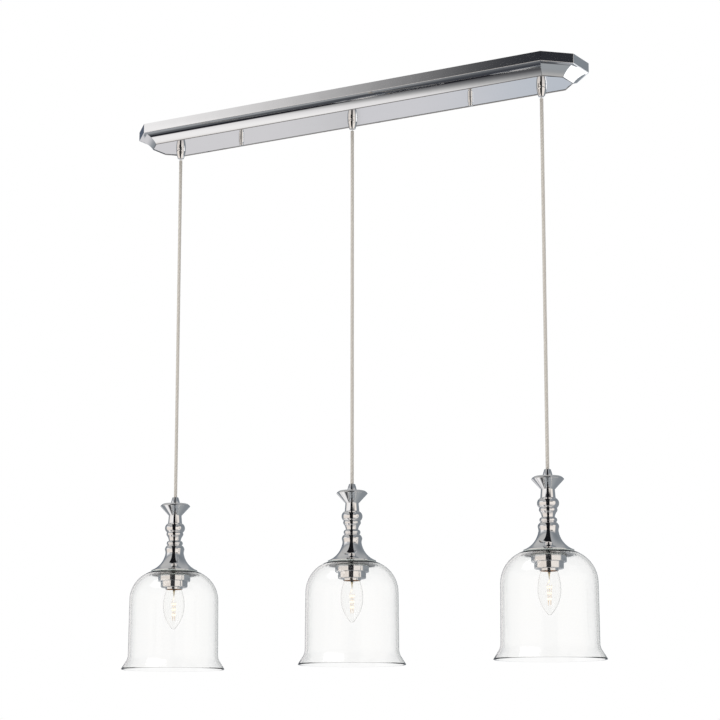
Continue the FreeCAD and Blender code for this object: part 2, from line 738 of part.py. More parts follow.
def bulb_outline(offset):
    """The named points of the torpedo's outline, moved inwards by an offset. Its shoulder and its
    long taper are arcs that are upright where they meet, and a small round tip ends the taper."""
    belly = BULB_GLASS_TOP - BULB_SHOULDER_LENGTH
    shoulder = belly_radius(BULB_RADIUS - BULB_NECK_RADIUS, BULB_SHOULDER_LENGTH)
    neck_angle = math.asin(BULB_SHOULDER_LENGTH / (shoulder - offset))
    shoulder_centre = (BULB_RADIUS - shoulder, belly)
    tip_centre = (0, BULB_GLASS_TOP - BULB_GLASS_LENGTH + BULB_TIP_RADIUS)
    drop = belly - tip_centre[1]
    taper = (BULB_RADIUS**2 + drop**2 - BULB_TIP_RADIUS**2) / (2 * (BULB_RADIUS - BULB_TIP_RADIUS))
    taper_centre = (BULB_RADIUS - taper, belly)
    tip_angle = -math.asin(drop / (taper - BULB_TIP_RADIUS))
    tip = BULB_TIP_RADIUS - offset
    return {
        "neck": on_circle(shoulder_centre, shoulder - offset, neck_angle),
        "shoulder_middle": on_circle(shoulder_centre, shoulder - offset, neck_angle / 2),
        "belly": (BULB_RADIUS - offset, belly),
        "taper_middle": on_circle(taper_centre, taper - offset, tip_angle / 2),
        "taper_foot": on_circle(tip_centre, tip, tip_angle),
        "tip_middle": on_circle(tip_centre, tip, (tip_angle - math.pi / 2) / 2),
        "tip": on_circle(tip_centre, tip, -math.pi / 2),
    }


def bulb_envelope():
    """A torpedo of thin glass, open at the neck that the base closes."""
    outside = bulb_outline(0)
    inside = bulb_outline(BULB_GLASS_WALL)
    return turned(
        outside["neck"],
        (outside["shoulder_middle"], outside["belly"]),
        (outside["taper_middle"], outside["taper_foot"]),
        (outside["tip_middle"], (0, outside["tip"][1])),
        (0, inside["tip"][1]),
        (inside["tip_middle"], inside["taper_foot"]),
        (inside["taper_middle"], inside["belly"]),
        (inside["shoulder_middle"], inside["neck"]),
    )


def bulb_base():
    """The screw base, its insulator and its tip contact, in one piece."""
    shoulder = BULB_GLASS_TOP + BULB_BASE_LENGTH
    insulator = shoulder + BULB_INSULATOR_HEIGHT
    return turned(
        (0, BULB_GLASS_TOP),
        (BULB_BASE_RADIUS, BULB_GLASS_TOP),
        (BULB_BASE_RADIUS, shoulder),
        (BULB_TIP_CONTACT_RADIUS, insulator),
        (BULB_TIP_CONTACT_RADIUS, BULB_SEAT),
        (0, BULB_SEAT),
    )


def bulb_stem():
    """The glass stem that stands inside the envelope on the base."""
    tip = BULB_GLASS_TOP - STEM_LENGTH
    return turned(
        (0, BULB_GLASS_TOP),
        (STEM_RADIUS, BULB_GLASS_TOP),
        (STEM_TIP_RADIUS, tip),
        (0, tip),
    )


def bulb_filament():
    """A zigzag of wire that hangs from the tip of the stem."""
    top = BULB_GLASS_TOP - STEM_LENGTH
    upper = top - FILAMENT_TOP
    lower = upper - FILAMENT_HEIGHT
    points = [at(0, top), at(0, top - FILAMENT_DROP)]
    for run in range(FILAMENT_RUNS + 1):
        x = FILAMENT_SPREAD * (2 * run / FILAMENT_RUNS - 1)
        points.append(at(x, lower if run % 2 else upper))
    section = Part.Wire(Part.makeCircle(FILAMENT_RADIUS, points[0], points[1] - points[0]))
    mitred = 1
    return Part.makePolygon(points).makePipeShell([section], True, False, mitred)


FIXED = {
    "canopy": canopy,
    "mounting_bar": mounting_bar,
    "ground_screw": ground_screw,
    "finial_studs": finial_studs,
    "stud_nuts": stud_nuts,
    "cap_nuts": cap_nuts,
    "canopy_grips": canopy_grips,
    "grip_nipples": grip_nipples,
    "grip_nuts": grip_nuts,
    "canopy_leads": canopy_leads,
    "wire_connectors": wire_connectors,
}
HANGING = {
    "cord_bead": cord_bead,
    "cord": cord,
    "pendant_grip": pendant_grip,
    "inner_cord": inner_cord,
    "spindle": spindle,
    "lamp_tube": lamp_tube,
    "socket_cup": socket_cup,
    "lamp_holder": lamp_holder,
    "socket_contacts": socket_contacts,
    "shade": shade,
    "shade_gaskets": shade_gaskets,
    "retaining_ring": retaining_ring,
    "bulb_envelope": bulb_envelope,
    "bulb_base": bulb_base,
    "bulb_stem": bulb_stem,
    "bulb_filament": bulb_filament,
}


def export(shape, name):
    shape.exportStep(f"parts/{name}.step")
    print(f"{name}: {len(shape.Solids)} solids, {shape.Volume / 1000:.2f} cm3")


os.makedirs("parts", exist_ok=True)
for node, make in FIXED.items():
    export(make(), node)
for piece, make in HANGING.items():
    solid = make()
    for side, place in SIDES.items():
        export(moved(solid, x=place * PENDANT_SPACING), f"{piece}_{side}")
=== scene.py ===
# %% [markdown]
# # A pendant light with a long canopy and clear bell shades
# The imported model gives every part's place, in metres, with +Z up and the ceiling at z = 0. This
# file dresses it: each piece that the eye rests on is modelled again with smooth turned or bevelled
# surfaces, and every surface gets a finish made of nodes.

# %% Load the fixed frame
import math

import bmesh
import bpy
from mathutils import Matrix, Vector


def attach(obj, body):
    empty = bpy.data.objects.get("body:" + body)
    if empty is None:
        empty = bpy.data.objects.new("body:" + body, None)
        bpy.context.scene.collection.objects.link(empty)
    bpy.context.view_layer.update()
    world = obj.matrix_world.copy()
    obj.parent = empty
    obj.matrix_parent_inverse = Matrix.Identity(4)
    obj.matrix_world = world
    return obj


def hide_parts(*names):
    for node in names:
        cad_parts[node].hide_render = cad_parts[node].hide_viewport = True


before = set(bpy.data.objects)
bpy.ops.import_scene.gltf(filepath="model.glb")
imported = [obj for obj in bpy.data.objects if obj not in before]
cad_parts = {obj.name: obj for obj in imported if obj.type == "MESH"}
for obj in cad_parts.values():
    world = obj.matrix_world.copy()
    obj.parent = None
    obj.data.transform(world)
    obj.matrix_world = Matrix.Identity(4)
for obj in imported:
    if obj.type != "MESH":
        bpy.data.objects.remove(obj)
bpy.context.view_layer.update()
MM = 0.001
SPACING = 0.3175
SIDES = {"left": -SPACING, "centre": 0.0, "right": SPACING}

# %% [markdown]
# ## The camera
# The light hangs from a ceiling and is seen from a little below its shades, from the front right.
# A long lens keeps the three pendants nearly the same size, so the camera stands three metres off.

# %% Camera
CAMERA_PLACE = (1.6194, -2.6869, -0.9858)
CAMERA_YAW = 30.865
CAMERA_PITCH = 10.559
LENS = 107.7

lens = bpy.data.cameras.new("camera")
lens.lens = LENS
lens.sensor_width = 36
lens.clip_start = 0.05
lens.clip_end = 50
camera = bpy.data.objects.new("camera", lens)
camera.location = CAMERA_PLACE
camera.rotation_euler = (math.radians(90 + CAMERA_PITCH), 0, math.radians(CAMERA_YAW))
bpy.context.scene.collection.objects.link(camera)
bpy.context.scene.camera = camera
bpy.context.scene.view_settings.view_transform = "Standard"
print("camera at", CAMERA_PLACE, "lens", LENS)

# %% [markdown]
# ## Shader maths as plain expressions
# Long node trees are hard to read. A small class wraps a socket, so that `a * 2 + b` adds the Math
# nodes itself. Every other node comes from the one method of `Finish`.

# %% A socket that can be added, multiplied and compared
class Value:
    def __init__(self, tree, socket):
        self.tree = tree
        self.socket = socket

    def maths(self, operation, *values):
        node = self.tree.nodes.new("ShaderNodeMath")
        node.operation = operation
        for entry, value in zip(node.inputs, values):
            plug(self.tree, entry, value)
        return Value(self.tree, node.outputs[0])

    def __add__(self, other):
        return self.maths("ADD", self, other)

    def __sub__(self, other):
        return self.maths("SUBTRACT", self, other)

    def __rsub__(self, other):
        return self.maths("SUBTRACT", other, self)

    def __mul__(self, other):
        return self.maths("MULTIPLY", self, other)

    def __truediv__(self, other):
        return self.maths("DIVIDE", self, other)

    __radd__ = __add__
    __rmul__ = __mul__


def plug(tree, entry, value):
    """Sets a socket to a number or a colour, or links it."""
    if isinstance(value, Value):
        tree.links.new(value.socket, entry)
    else:
        entry.default_value = value


def find(sockets, name):
    """A socket by its identifier, or else by its name."""
    for socket in sockets:
        if socket.identifier == name:
            return socket
    return sockets[name]


# %% A node tree that is being written
class Finish:
    def __init__(self, tree):
        self.tree = tree

    def node(self, kind, settings, sockets, result=0):
        """Adds one node, and returns one of its outputs as a value."""
        node = self.tree.nodes.new(kind)
        for name, setting in settings.items():
            if name == "stops":
                self.fill_ramp(node.color_ramp, setting)
            else:
                setattr(node, name, setting)
        for name, value in sockets.items():
            plug(self.tree, find(node.inputs, name), value)
        named = isinstance(result, str)
        return Value(self.tree, find(node.outputs, result) if named else node.outputs[result])

    def fill_ramp(self, ramp, stops):
        """Puts the given colours on a colour ramp, each at its place."""
        while len(ramp.elements) < len(stops):
            ramp.elements.new(1.0)
        for element, (place, colour) in zip(ramp.elements, stops):
            element.position = place
            element.color = colour

    def step(self, value, low, high):
        """0 below low, 1 above high and smooth between."""
        return self.node(
            "ShaderNodeMapRange",
            {"interpolation_type": "SMOOTHSTEP"},
            {"Value": value, "From Min": low, "From Max": high},
        )

    def blend(self, share, first, second):
        """One colour passing into another."""
        return self.node(
            "ShaderNodeMix",
            {"data_type": "RGBA"},
            {"Factor_Float": share, "A_Color": first, "B_Color": second},
            "Result_Color",
        )

    def ramp(self, value, stops):
        return self.node("ShaderNodeValToRGB", {"stops": stops}, {"Fac": value})

    def parts(self, vector):
        """The X, Y and Z of a vector."""
        return [
            self.node("ShaderNodeSeparateXYZ", {}, {"Vector": vector}, axis) for axis in "XYZ"
        ]

    def noise(self, place, scale, detail=2.0):
        sockets = {"Vector": place, "Scale": scale, "Detail": detail}
        return self.node("ShaderNodeTexNoise", {}, sockets)

    def bump(self, height, depth):
        """A surface normal from a height between 0 and 1, that is depth metres deep."""
        sockets = {"Height": height, "Distance": depth, "Strength": 1.0}
        return self.node("ShaderNodeBump", {}, sockets)


def grey(level):
    return (level, level, level, 1.0)


def new_finish(name, **sockets):
    """A material and its tree, with the plain numbers of its shader already set."""
    material = bpy.data.materials.new(name)
    material.use_nodes = True
    shader = material.node_tree.nodes["Principled BSDF"]
    for socket, value in sockets.items():
        shader.inputs[socket.replace("_", " ")].default_value = value
    return material, Finish(material.node_tree), shader


def on_object(finish):
    """The place on the object, in metres."""
    return finish.node("ShaderNodeTexCoord", {}, {}, "Object")


# %% [markdown]
# ## Polished plating
# The chrome is a mirror, so its look is what it reflects. Real plating still isn't perfect: it has
# faint cloudy patches where it is a little less sharp, and hair-fine wipe marks. Noise at two sizes
# feeds the roughness, and the larger one a bump of some hundredths of a millimetre.

# %% Chrome
def chrome_finish(name, tint, waviness):
    material, finish, shader = new_finish(name, Metallic=1.0)
    place = on_object(finish)
    clouds = finish.noise(place, 35.0)
    wipes = finish.noise(place, 900.0)
    colour = finish.blend(clouds, (*[c * 0.96 for c in tint], 1.0), (*tint, 1.0))
    plug(finish.tree, shader.inputs["Base Color"], colour)
    plug(finish.tree, shader.inputs["Roughness"], 0.018 + 0.03 * clouds + 0.012 * wipes)
    plug(finish.tree, shader.inputs["Normal"], finish.bump(clouds, waviness))
    return material


CHROME = chrome_finish("polished_chrome", (0.86, 0.865, 0.875), 0.000012)
SHEET_CHROME = chrome_finish("polished_sheet", (0.86, 0.865, 0.875), 0.00002)
print("chrome ready")

# %% [markdown]
# ## Plain steel and brass inside
# The mounting bar and the threaded parts are zinc plated: grey, a little blotchy and satin. The
# contacts and the bulb's base are brass that has dulled unevenly.

# %% Zinc and brass
def worn_metal(name, fresh, dull, roughness, grain):
    material, finish, shader = new_finish(name, Metallic=1.0)
    place = on_object(finish)
    patches = finish.noise(place, grain, 4.0)
    fine = finish.noise(place, grain * 14, 3.0)
    colour = finish.blend(finish.step(patches, 0.35, 0.7), (*fresh, 1.0), (*dull, 1.0))
    plug(finish.tree, shader.inputs["Base Color"], colour)
    plug(finish.tree, shader.inputs["Roughness"], roughness + 0.12 * patches + 0.08 * fine)
    plug(finish.tree, shader.inputs["Normal"], finish.bump(fine, 0.00003))
    return material


ZINC = worn_metal("zinc_plating", (0.62, 0.63, 0.64), (0.47, 0.48, 0.5), 0.26, 90.0)
BRASS = worn_metal("dulled_brass", (0.82, 0.6, 0.3), (0.6, 0.4, 0.18), 0.18, 220.0)
GREEN = worn_metal("green_dyed_screw", (0.1, 0.42, 0.18), (0.05, 0.24, 0.1), 0.3, 400.0)
print("inner metals ready")

# %% [markdown]
# ## Glass
# The bells are blown from clear glass. Seen through its thickness, such as along the edge of the
# wall or into the flat neck, it is a pale grey green, which comes from light being absorbed inside
# it. Its surface is never quite even, so a slow noise bends it by some hundredths of a millimetre.
# The light bends less here than in real glass, and least in the bulb. Both were chosen for
# edges as pale as in the photograph, and so was the amber tint of the bulb's stem.

# %% Clear glass
PANE_BENDING = 1.3
THIN_BENDING = 1.12


def glass_finish(name, body_tint, absorption, density, unevenness, scale, bending=PANE_BENDING):
    material, finish, shader = new_finish(
        name, Transmission_Weight=1.0, IOR=bending, Specular_IOR_Level=0.08
    )
    place = on_object(finish)
    waves = finish.noise(place, scale, 1.0)
    smears = finish.noise(place, scale * 6, 3.0)
    plug(finish.tree, shader.inputs["Base Color"], finish.blend(smears, body_tint, grey(1.0)))
    plug(finish.tree, shader.inputs["Roughness"], 0.012 * smears)
    plug(finish.tree, shader.inputs["Normal"], finish.bump(waves, unevenness))
    inside = finish.node(
        "ShaderNodeVolumeAbsorption", {}, {"Color": absorption, "Density": density}
    )
    output = finish.tree.nodes["Material Output"]
    plug(finish.tree, output.inputs["Volume"], inside)
    return material


SHADE_GLASS = glass_finish(
    "clear_glass", (1.0, 0.995, 0.99, 1), (0.55, 0.68, 0.63, 1), 6.0, 0.00006, 14.0
)
BULB_GLASS = glass_finish(
    "bulb_glass", (0.99, 0.99, 0.985, 1), (0.7, 0.7, 0.65, 1), 12.0, 0.00004, 60.0, THIN_BENDING
)
STEM_GLASS = glass_finish(
    "stem_glass", (0.9, 0.85, 0.7, 1), (0.5, 0.4, 0.18, 1), 520.0, 0.00002, 200.0
)
print("glass ready")

# %% [markdown]
# ## Moulded plastic and rubber
# The lamp holder is a warm brown, the washers on the glass are pale and soft, and the wire
# connectors are orange. Moulded skins have a fine even grain and slight changes of tone.

# %% Plastics
def moulded(name, light, dark, roughness, grain, depth):
    material, finish, shader = new_finish(name)
    place = on_object(finish)
    tone = finish.noise(place, grain, 3.0)
    fine = finish.noise(place, grain * 20, 2.0)
    plug(finish.tree, shader.inputs["Base Color"], finish.blend(tone, (*light, 1.0), (*dark, 1.0)))
    plug(finish.tree, shader.inputs["Roughness"], roughness + 0.15 * fine)
    plug(finish.tree, shader.inputs["Normal"], finish.bump(fine, depth))
    return material


BROWN = moulded("brown_holder", (0.86, 0.42, 0.15), (0.7, 0.3, 0.09), 0.22, 120.0, 0.00001)
RUBBER = moulded("pale_washer", (0.84, 0.9, 0.87), (0.76, 0.84, 0.8), 0.35, 90.0, 0.00002)
ORANGE = moulded("orange_connector", (0.85, 0.33, 0.05), (0.7, 0.25, 0.03), 0.4, 160.0, 0.00003)
IVORY = moulded("wire_insulation", (0.78, 0.76, 0.7), (0.66, 0.64, 0.58), 0.35, 200.0, 0.00001)
DARK_WIRE = moulded(
    "dark_insulation", (0.06, 0.06, 0.065), (0.03, 0.03, 0.035), 0.35, 200.0, 0.00001
)
print("plastics ready")

# %% [markdown]
# ## The cord's finish
# The cord is a clear jacket over twisted silver grey strands, so it looks mottled. The strands are
# stripes that wind round the cord as they go down it: the height plus a share of the angle round
# the cord's own middle gives their phase. The clear jacket is the shader's coat.

# %% Cord finish
CORD_PITCH = 0.0062
STRANDS = 3

material, finish, shader = new_finish("twisted_cord", Coat_Weight=0.6, Coat_Roughness=0.08)
place = on_object(finish)
across, deep, height = finish.parts(place)
local = across.maths("WRAP", across, SPACING / 2, -SPACING / 2)
angle = local.maths("ARCTAN2", deep, local) / (2 * math.pi)
phase = height / CORD_PITCH + angle
ridge = phase.maths("PINGPONG", phase * STRANDS, 0.5) * 2
mottle = finish.noise(place, 700.0, 3.0)
lightness = finish.step(ridge * 0.7 + mottle * 0.5, 0.15, 0.95)
strand_colour = finish.blend(lightness, (0.3, 0.27, 0.235, 1), (0.72, 0.68, 0.62, 1))
plug(finish.tree, shader.inputs["Base Color"], strand_colour)
plug(finish.tree, shader.inputs["Roughness"], 0.3 + 0.25 * (1 - lightness))
plug(finish.tree, shader.inputs["Normal"], finish.bump(ridge, 0.00025))
CORD = material
print("cord finish ready")

# %% [markdown]
# ## Turned outlines
# Almost everything that hangs here was turned on a lathe or spun over a form. Such a piece is one
# outline and one spin. An outline is written as a lathe hand reads a drawing: down the outside, in
# millimetres, as radius and level, with a third number where the step is an arc. That number is
# how far the arc swells clear of its chord. A Screw modifier would do as well, but a spin in bmesh
# leaves a plain closed mesh whose corners can be eased first.

# %% Points along an outline
MOST_TURN = math.radians(7)  # between two neighbours on an arc


def arc(start, end, swell):
    """Points after start, on an arc that swells clear of its chord on the left."""
    chord = end - start
    half_sweep = 2 * math.atan(2 * swell / chord.length)
    across = chord.length / math.sin(half_sweep)
    count = max(2, math.ceil(2 * abs(half_sweep) / MOST_TURN))
    points = []
    for step in range(1, count + 1):
        share = step / count
        heading = Matrix.Rotation(half_sweep * (1 - share), 2) @ chord.normalized()
        points.append(start + heading * across * math.sin(half_sweep * share))
    return points


def trace(*steps):
    """An outline from steps in millimetres: a corner's radius and level, and an arc's swell."""
    points = [Vector(steps[0])]
    for radius, level, *swell in steps[1:]:
        end = Vector((radius, level))
        points += arc(points[-1], end, swell[0]) if swell else [end]
    return points


print("an arc of a quarter turn has", len(arc(Vector((1, 0)), Vector((0, 1)), -0.2071)), "steps")

# %% Spinning an outline
ROUND_STEPS = 112
SHARP = math.radians(20)
WELD = 0.002 * MM
MOST_EASED = 0.4  # share of an edge that one eased corner may take


def spun(outline, easing=0.25):
    """A closed turned shape. Its outline is a loop, or else starts and ends on the axis."""
    shape = bmesh.new()
    verts = [shape.verts.new((radius * MM, 0, level * MM)) for radius, level in outline]
    loop = verts if outline[0].x == 0 else verts + [verts[0]]
    for first, second in zip(loop, loop[1:]):
        shape.edges.new((first, second))
    ease_corners(shape, easing)
    bmesh.ops.spin(
        shape,
        geom=shape.verts[:] + shape.edges[:],
        cent=(0, 0, 0),
        axis=(0, 0, 1),
        angle=2 * math.pi,
        steps=ROUND_STEPS,
        use_merge=True,
    )
    bmesh.ops.remove_doubles(shape, verts=shape.verts[:], dist=WELD)
    bmesh.ops.recalc_face_normals(shape, faces=shape.faces[:])
    return shape


def ease_corners(shape, easing):
    """Rounds each sharp corner of an outline of edges, but takes less than half of an edge."""
    for corner in shape.verts[:]:
        if len(corner.link_edges) != 2:
            continue
        ways = [edge.other_vert(corner).co - corner.co for edge in corner.link_edges]
        if math.pi - ways[0].angle(ways[1]) < SHARP:
            continue
        room = MOST_EASED * min(way.length for way in ways)
        bmesh.ops.bevel(
            shape,
            geom=[corner],
            offset=min(easing * MM, room),
            affect="VERTICES",
            segments=2,
            profile=0.5,
            material=-1,
        )


washer = spun(trace((2, 1), (4, 1), (4, 0), (2, 0)))
print("a washer:", len(washer.faces), "faces")
washer.free()

# %% [markdown]
# ## From a shape to a piece
# A finished shape becomes a mesh with smooth shading, and the Weighted Normal modifier keeps its
# flat faces flat beside the eased corners. The three pendants are alike, so one mesh is copied to
# each, and every copy rides on its own body in place of its own node.

# %% Making pieces
def mesh_of(name, shape, *materials):
    """Ends the work on a shape."""
    for face in shape.faces:
        face.smooth = True
    mesh = bpy.data.meshes.new(name)
    shape.to_mesh(mesh)
    shape.free()
    for material in materials:
        mesh.materials.append(material)
    return mesh


def set_up(name, mesh, body, slot, *nodes):
    """Puts a mesh in the scene as a piece that rides on a body and stands for CAD nodes."""
    piece = bpy.data.objects.new(name, mesh)
    bpy.context.scene.collection.objects.link(piece)
    piece.modifiers.new("even_shading", "WEIGHTED_NORMAL")
    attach(piece, body)
    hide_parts(*nodes)
    return piece


def hang_three(name, mesh, body, slot, node):
    """One copy of a mesh for each pendant."""
    for side, x in SIDES.items():
        copy = mesh.copy()
        copy.transform(Matrix.Translation((x, 0, 0)))
        set_up(f"{name}_{side}", copy, f"{body}_{side}", slot, f"{node}_{side}")
    print(name, "x3:", len(mesh.polygons), "faces each")


def repeat(shape, *offsets):
    """Adds copies of the whole shape, each moved by an offset in metres."""
    first = shape.verts[:] + shape.edges[:] + shape.faces[:]
    for offset in offsets:
        copy = bmesh.ops.duplicate(shape, geom=first)["geom"]
        verts = [item for item in copy if isinstance(item, bmesh.types.BMVert)]
        bmesh.ops.translate(shape, verts=verts, vec=offset)


def join(shape, other):
    """Moves the faces of another shape into this one."""
    passing = mesh_of("passing", other)
    shape.from_mesh(passing)
    bpy.data.meshes.remove(passing)


# %% [markdown]
# ## The canopy
# The long cover against the ceiling is pressed from one sheet: an upright flange, a narrow ledge, a
# hollow cove and a flat plate, with its four corners cut off at 45 degrees. It starts as one face
# with eight corners. Extrude makes the flange, and each inset makes the next strip of the cove, so
# the strips meet in true mitres at the corners. The cove's outline ends in a low rounded lip. Its
# plating has a darker tint, chosen to paint the thin dark line round the plate: painted shade, for
# the sheet has one plating. Solidify then gives the sheet its thickness.

# %% The canopy's measures
HALF_LENGTH = 381.0
HALF_WIDTH = 60.5
CORNER = 35.0
FLANGE = 14.2
LEDGE = 1.6
COVE_DROP = 14.3
COVE = trace((0, 0), (-19.1, -COVE_DROP, -2.0), (-19.5, -15.0), (-20.3, -15.0, 0.3), (-20.6, -14.3))
# The lip's darker plating is painted shade: it draws the thin dark line round the plate.
LIP_PAINTED_SHADE_CHROME = chrome_finish("lip_painted_shade_chrome", (0.3, 0.305, 0.315), 0.000012)

PLATE = -FLANGE - COVE_DROP
SMALL = 0.05 * MM
SHEET = 1.0
FOLD = 0.5
RIM_EASE = 0.2
print("the cove has", len(COVE) - 1, "strips, and the plate is at", PLATE, "mm")

# %% Eight corners, a flange and the strips of the cove
canopy = bmesh.new()
corners = []
for x_side, y_side in ((1, 1), (1, -1), (-1, -1), (-1, 1)):
    side_end = (HALF_LENGTH * x_side, (HALF_WIDTH - CORNER) * y_side)
    long_end = ((HALF_LENGTH - CORNER) * x_side, HALF_WIDTH * y_side)
    corners += [long_end, side_end] if x_side == y_side else [side_end, long_end]
verts = [canopy.verts.new((x * MM, y * MM, 0)) for x, y in corners]
mouth = canopy.faces.new(verts)
bmesh.ops.recalc_face_normals(canopy, faces=[mouth])
if mouth.normal.z > 0:
    mouth.normal_flip()
grown = bmesh.ops.extrude_face_region(canopy, geom=[mouth])["geom"]
plate = [item for item in grown if isinstance(item, bmesh.types.BMFace)][0]
bmesh.ops.translate(canopy, verts=plate.verts[:], vec=(0, 0, -FLANGE * MM))
bmesh.ops.inset_region(canopy, faces=[plate], thickness=LEDGE * MM, use_even_offset=True)
for here, there in zip(COVE, COVE[1:]):
    step = (there - here) * MM
    bmesh.ops.inset_region(
        canopy, faces=[plate], thickness=-step.x, depth=-step.y, use_even_offset=True
    )
if mouth.is_valid:
    canopy.faces.remove(mouth)
print("pressed from", len(canopy.faces), "faces")

# %% Folds, lip and thickness
bmesh.ops.recalc_face_normals(canopy, faces=canopy.faces[:])
if plate.normal.z > 0:
    bmesh.ops.reverse_faces(canopy, faces=canopy.faces[:])
sharp = [
    edge
    for edge in canopy.edges
    if len(edge.link_faces) == 2
    and edge.calc_face_angle() > SHARP
    and max(vert.co.z for vert in edge.verts) > PLATE * MM + SMALL
]
bmesh.ops.bevel(
    canopy, geom=sharp, offset=FOLD * MM, affect="EDGES", segments=3, profile=0.5, material=-1
)
# Faces below the plate, the lip, take the darker plating: painted shade round the plate.
for face in canopy.faces:
    if face.calc_center_median().z < PLATE * MM - SMALL:
        face.material_index = 1
lowest = min(vert.co.z for vert in canopy.verts)
print("canopy:", len(canopy.faces), "faces, plate at", round(lowest / MM, 2), "mm")
pan_mesh = mesh_of("polished_canopy", canopy, SHEET_CHROME, LIP_PAINTED_SHADE_CHROME)
pan = set_up("polished_canopy", pan_mesh, "ceiling_unit", "chrome", "canopy")
sheet = pan.modifiers.new("sheet", "SOLIDIFY")
sheet.thickness = SHEET * MM
sheet.offset = -1
sheet.use_even_offset = True
rim = pan.modifiers.new("rim", "BEVEL")
rim.width = RIM_EASE * MM
rim.segments = 2
rim.limit_method = "ANGLE"
rim.angle_limit = math.radians(60)
pan.modifiers.move(0, 2)

# %% [markdown]
# ## Cap nuts and cord grips
# Two turned nuts hold the canopy up. Each has a straight barrel, a groove, a bead and a domed tip.
# Three bullet-shaped grips hold the cords under the plate, and one more sits in the dish on top of
# each spindle. Both kinds are a spin, and the ones on the canopy are copied along it in one piece.

# %% Cap nuts
NUT_SPACING = 0.404
NUT_BORE = PLATE - 9.0
NUT_GROOVE = PLATE - 8.6
NUT_BEAD = PLATE - 9.8

cap_nut = spun(
    trace(
        (0, NUT_BORE),
        (2.05, NUT_BORE),
        (2.05, PLATE),
        (4.0, PLATE),
        (4.0, NUT_GROOVE),
        (2.7, NUT_GROOVE),
        (2.7, NUT_BEAD),
        (3.4, NUT_BEAD),
        (3.4, PLATE - 11.2),
        (0, PLATE - 14.6, 0.996),
    )
)
bmesh.ops.translate(cap_nut, verts=cap_nut.verts[:], vec=(-NUT_SPACING / 2, 0, 0))
repeat(cap_nut, (NUT_SPACING, 0, 0))
nuts_mesh = mesh_of("domed_cap_nuts", cap_nut, CHROME)
set_up("domed_cap_nuts", nuts_mesh, "ceiling_unit", "chrome", "cap_nuts")
print("two cap nuts,", NUT_SPACING, "m apart")

# %% Cord grips
PENDANT_MOUTH = -586.0
GRIP_LENGTH = 18.0
TUBE_HOLE = 5.05  # the radius of every hole for a threaded tube


def cord_grip(base, down):
    """A sleeve from its base to its mouth. Down is 1 where the mouth is below the base."""
    outline = trace(
        (TUBE_HOLE, 0),
        (7.6, 0),
        (4.7, 17.2, -0.85),
        (3.9, GRIP_LENGTH, -0.2),
        (2.55, GRIP_LENGTH),
        (2.55, 7.0),
        (TUBE_HOLE, 7.0),
    )
    return spun([Vector((radius, base - down * level)) for radius, level in outline])


canopy_grips = cord_grip(PLATE, 1)
repeat(canopy_grips, (-SPACING, 0, 0), (SPACING, 0, 0))
grips_mesh = mesh_of("bullet_grips", canopy_grips, CHROME)
set_up("bullet_grips", grips_mesh, "ceiling_unit", "chrome", "canopy_grips")
hang_three(
    "bullet_grip",
    mesh_of("bullet_grip", cord_grip(PENDANT_MOUTH - GRIP_LENGTH, -1), CHROME),
    "pendant",
    "chrome",
    "pendant_grip",
)

# %% [markdown]
# ## The spindle
# The column between cord and shade is one turning: a dished flare, a neck, a large and a small bead
# with a taper between them, a shoulder, and a hollow foot like a trumpet's bell. Each step below
# gives the drop from the last one, the radius it ends at and how far it swells. The turning starts
# at the bottom of its dish and ends in the hollow of its foot.

# %% Spindle
SPINDLE_TOP = -596.0
DISH = SPINDLE_TOP - 8.0
SPINDLE_STEPS = (
    (4.0, 22.9, 0.7),
    (14.4, 9.7, 0),
    (11.9, 10.7, 0),
    (13.9, 12.1, 3.88),
    (5.1, 12.1, 0.8),
    (7.9, 9.1, -0.7),
    (6.8, 10.7, 2.34),
    (6.6, 14.9, 1.1),
    (5.8, 13.9, -0.3),
    (26.0, 35.2, -4.6),
    (1.1, 35.2, 0),
)
steps = [(9.4, DISH), (17.5, SPINDLE_TOP)]
level = SPINDLE_TOP
for drop, radius, swell in SPINDLE_STEPS:
    level -= drop
    steps.append((radius, level, swell) if swell else (radius, level))
FOOT = level
HOLLOW = FOOT + 24.9
steps += [(32.2, FOOT), (11.7, HOLLOW, 4.6), (TUBE_HOLE, HOLLOW), (TUBE_HOLE, DISH)]
hang_three(
    "turned_spindle",
    mesh_of("turned_spindle", spun(trace(*steps)), CHROME),
    "pendant",
    "chrome",
    "spindle",
)
print("the foot is at", round(FOOT, 2), "mm")

# %% [markdown]
# ## Cup, clamping ring and lamp holder
# Under the glass hangs a drawn cup with a ring screwed on to it. The lamp holder inside is moulded,
# with a plated skin where it shows below the cup. Its thread and its centre contact are brass.

# %% Cup and ring
CUP_TOP = FOOT + 7.0
CUP_CEILING = FOOT + 5.8
CUP_BOTTOM = FOOT - 25.0
CUP_FLOOR = CUP_BOTTOM + 1.2
cup = spun(
    trace(
        (TUBE_HOLE, CUP_TOP),
        (20.4, CUP_TOP),
        (20.4, CUP_BOTTOM + 1.6),
        (18.8, CUP_BOTTOM, 0.47),
        (13.3, CUP_BOTTOM),
        (13.3, CUP_FLOOR),
        (19.2, CUP_FLOOR),
        (19.2, CUP_CEILING),
        (TUBE_HOLE, CUP_CEILING),
    )
)
hang_three("drawn_cup", mesh_of("drawn_cup", cup, CHROME), "pendant", "chrome", "socket_cup")

RING_TOP = FOOT - 6.5
RING_BOTTOM = RING_TOP - 9.1
ring = spun(
    trace(
        (20.45, RING_TOP),
        (24.6, RING_TOP),
        (24.6, RING_BOTTOM + 1.5),
        (23.1, RING_BOTTOM, 0.44),
        (20.45, RING_BOTTOM),
    )
)
ring_mesh = mesh_of("clamping_ring", ring, CHROME)
hang_three("clamping_ring", ring_mesh, "pendant", "chrome", "retaining_ring")

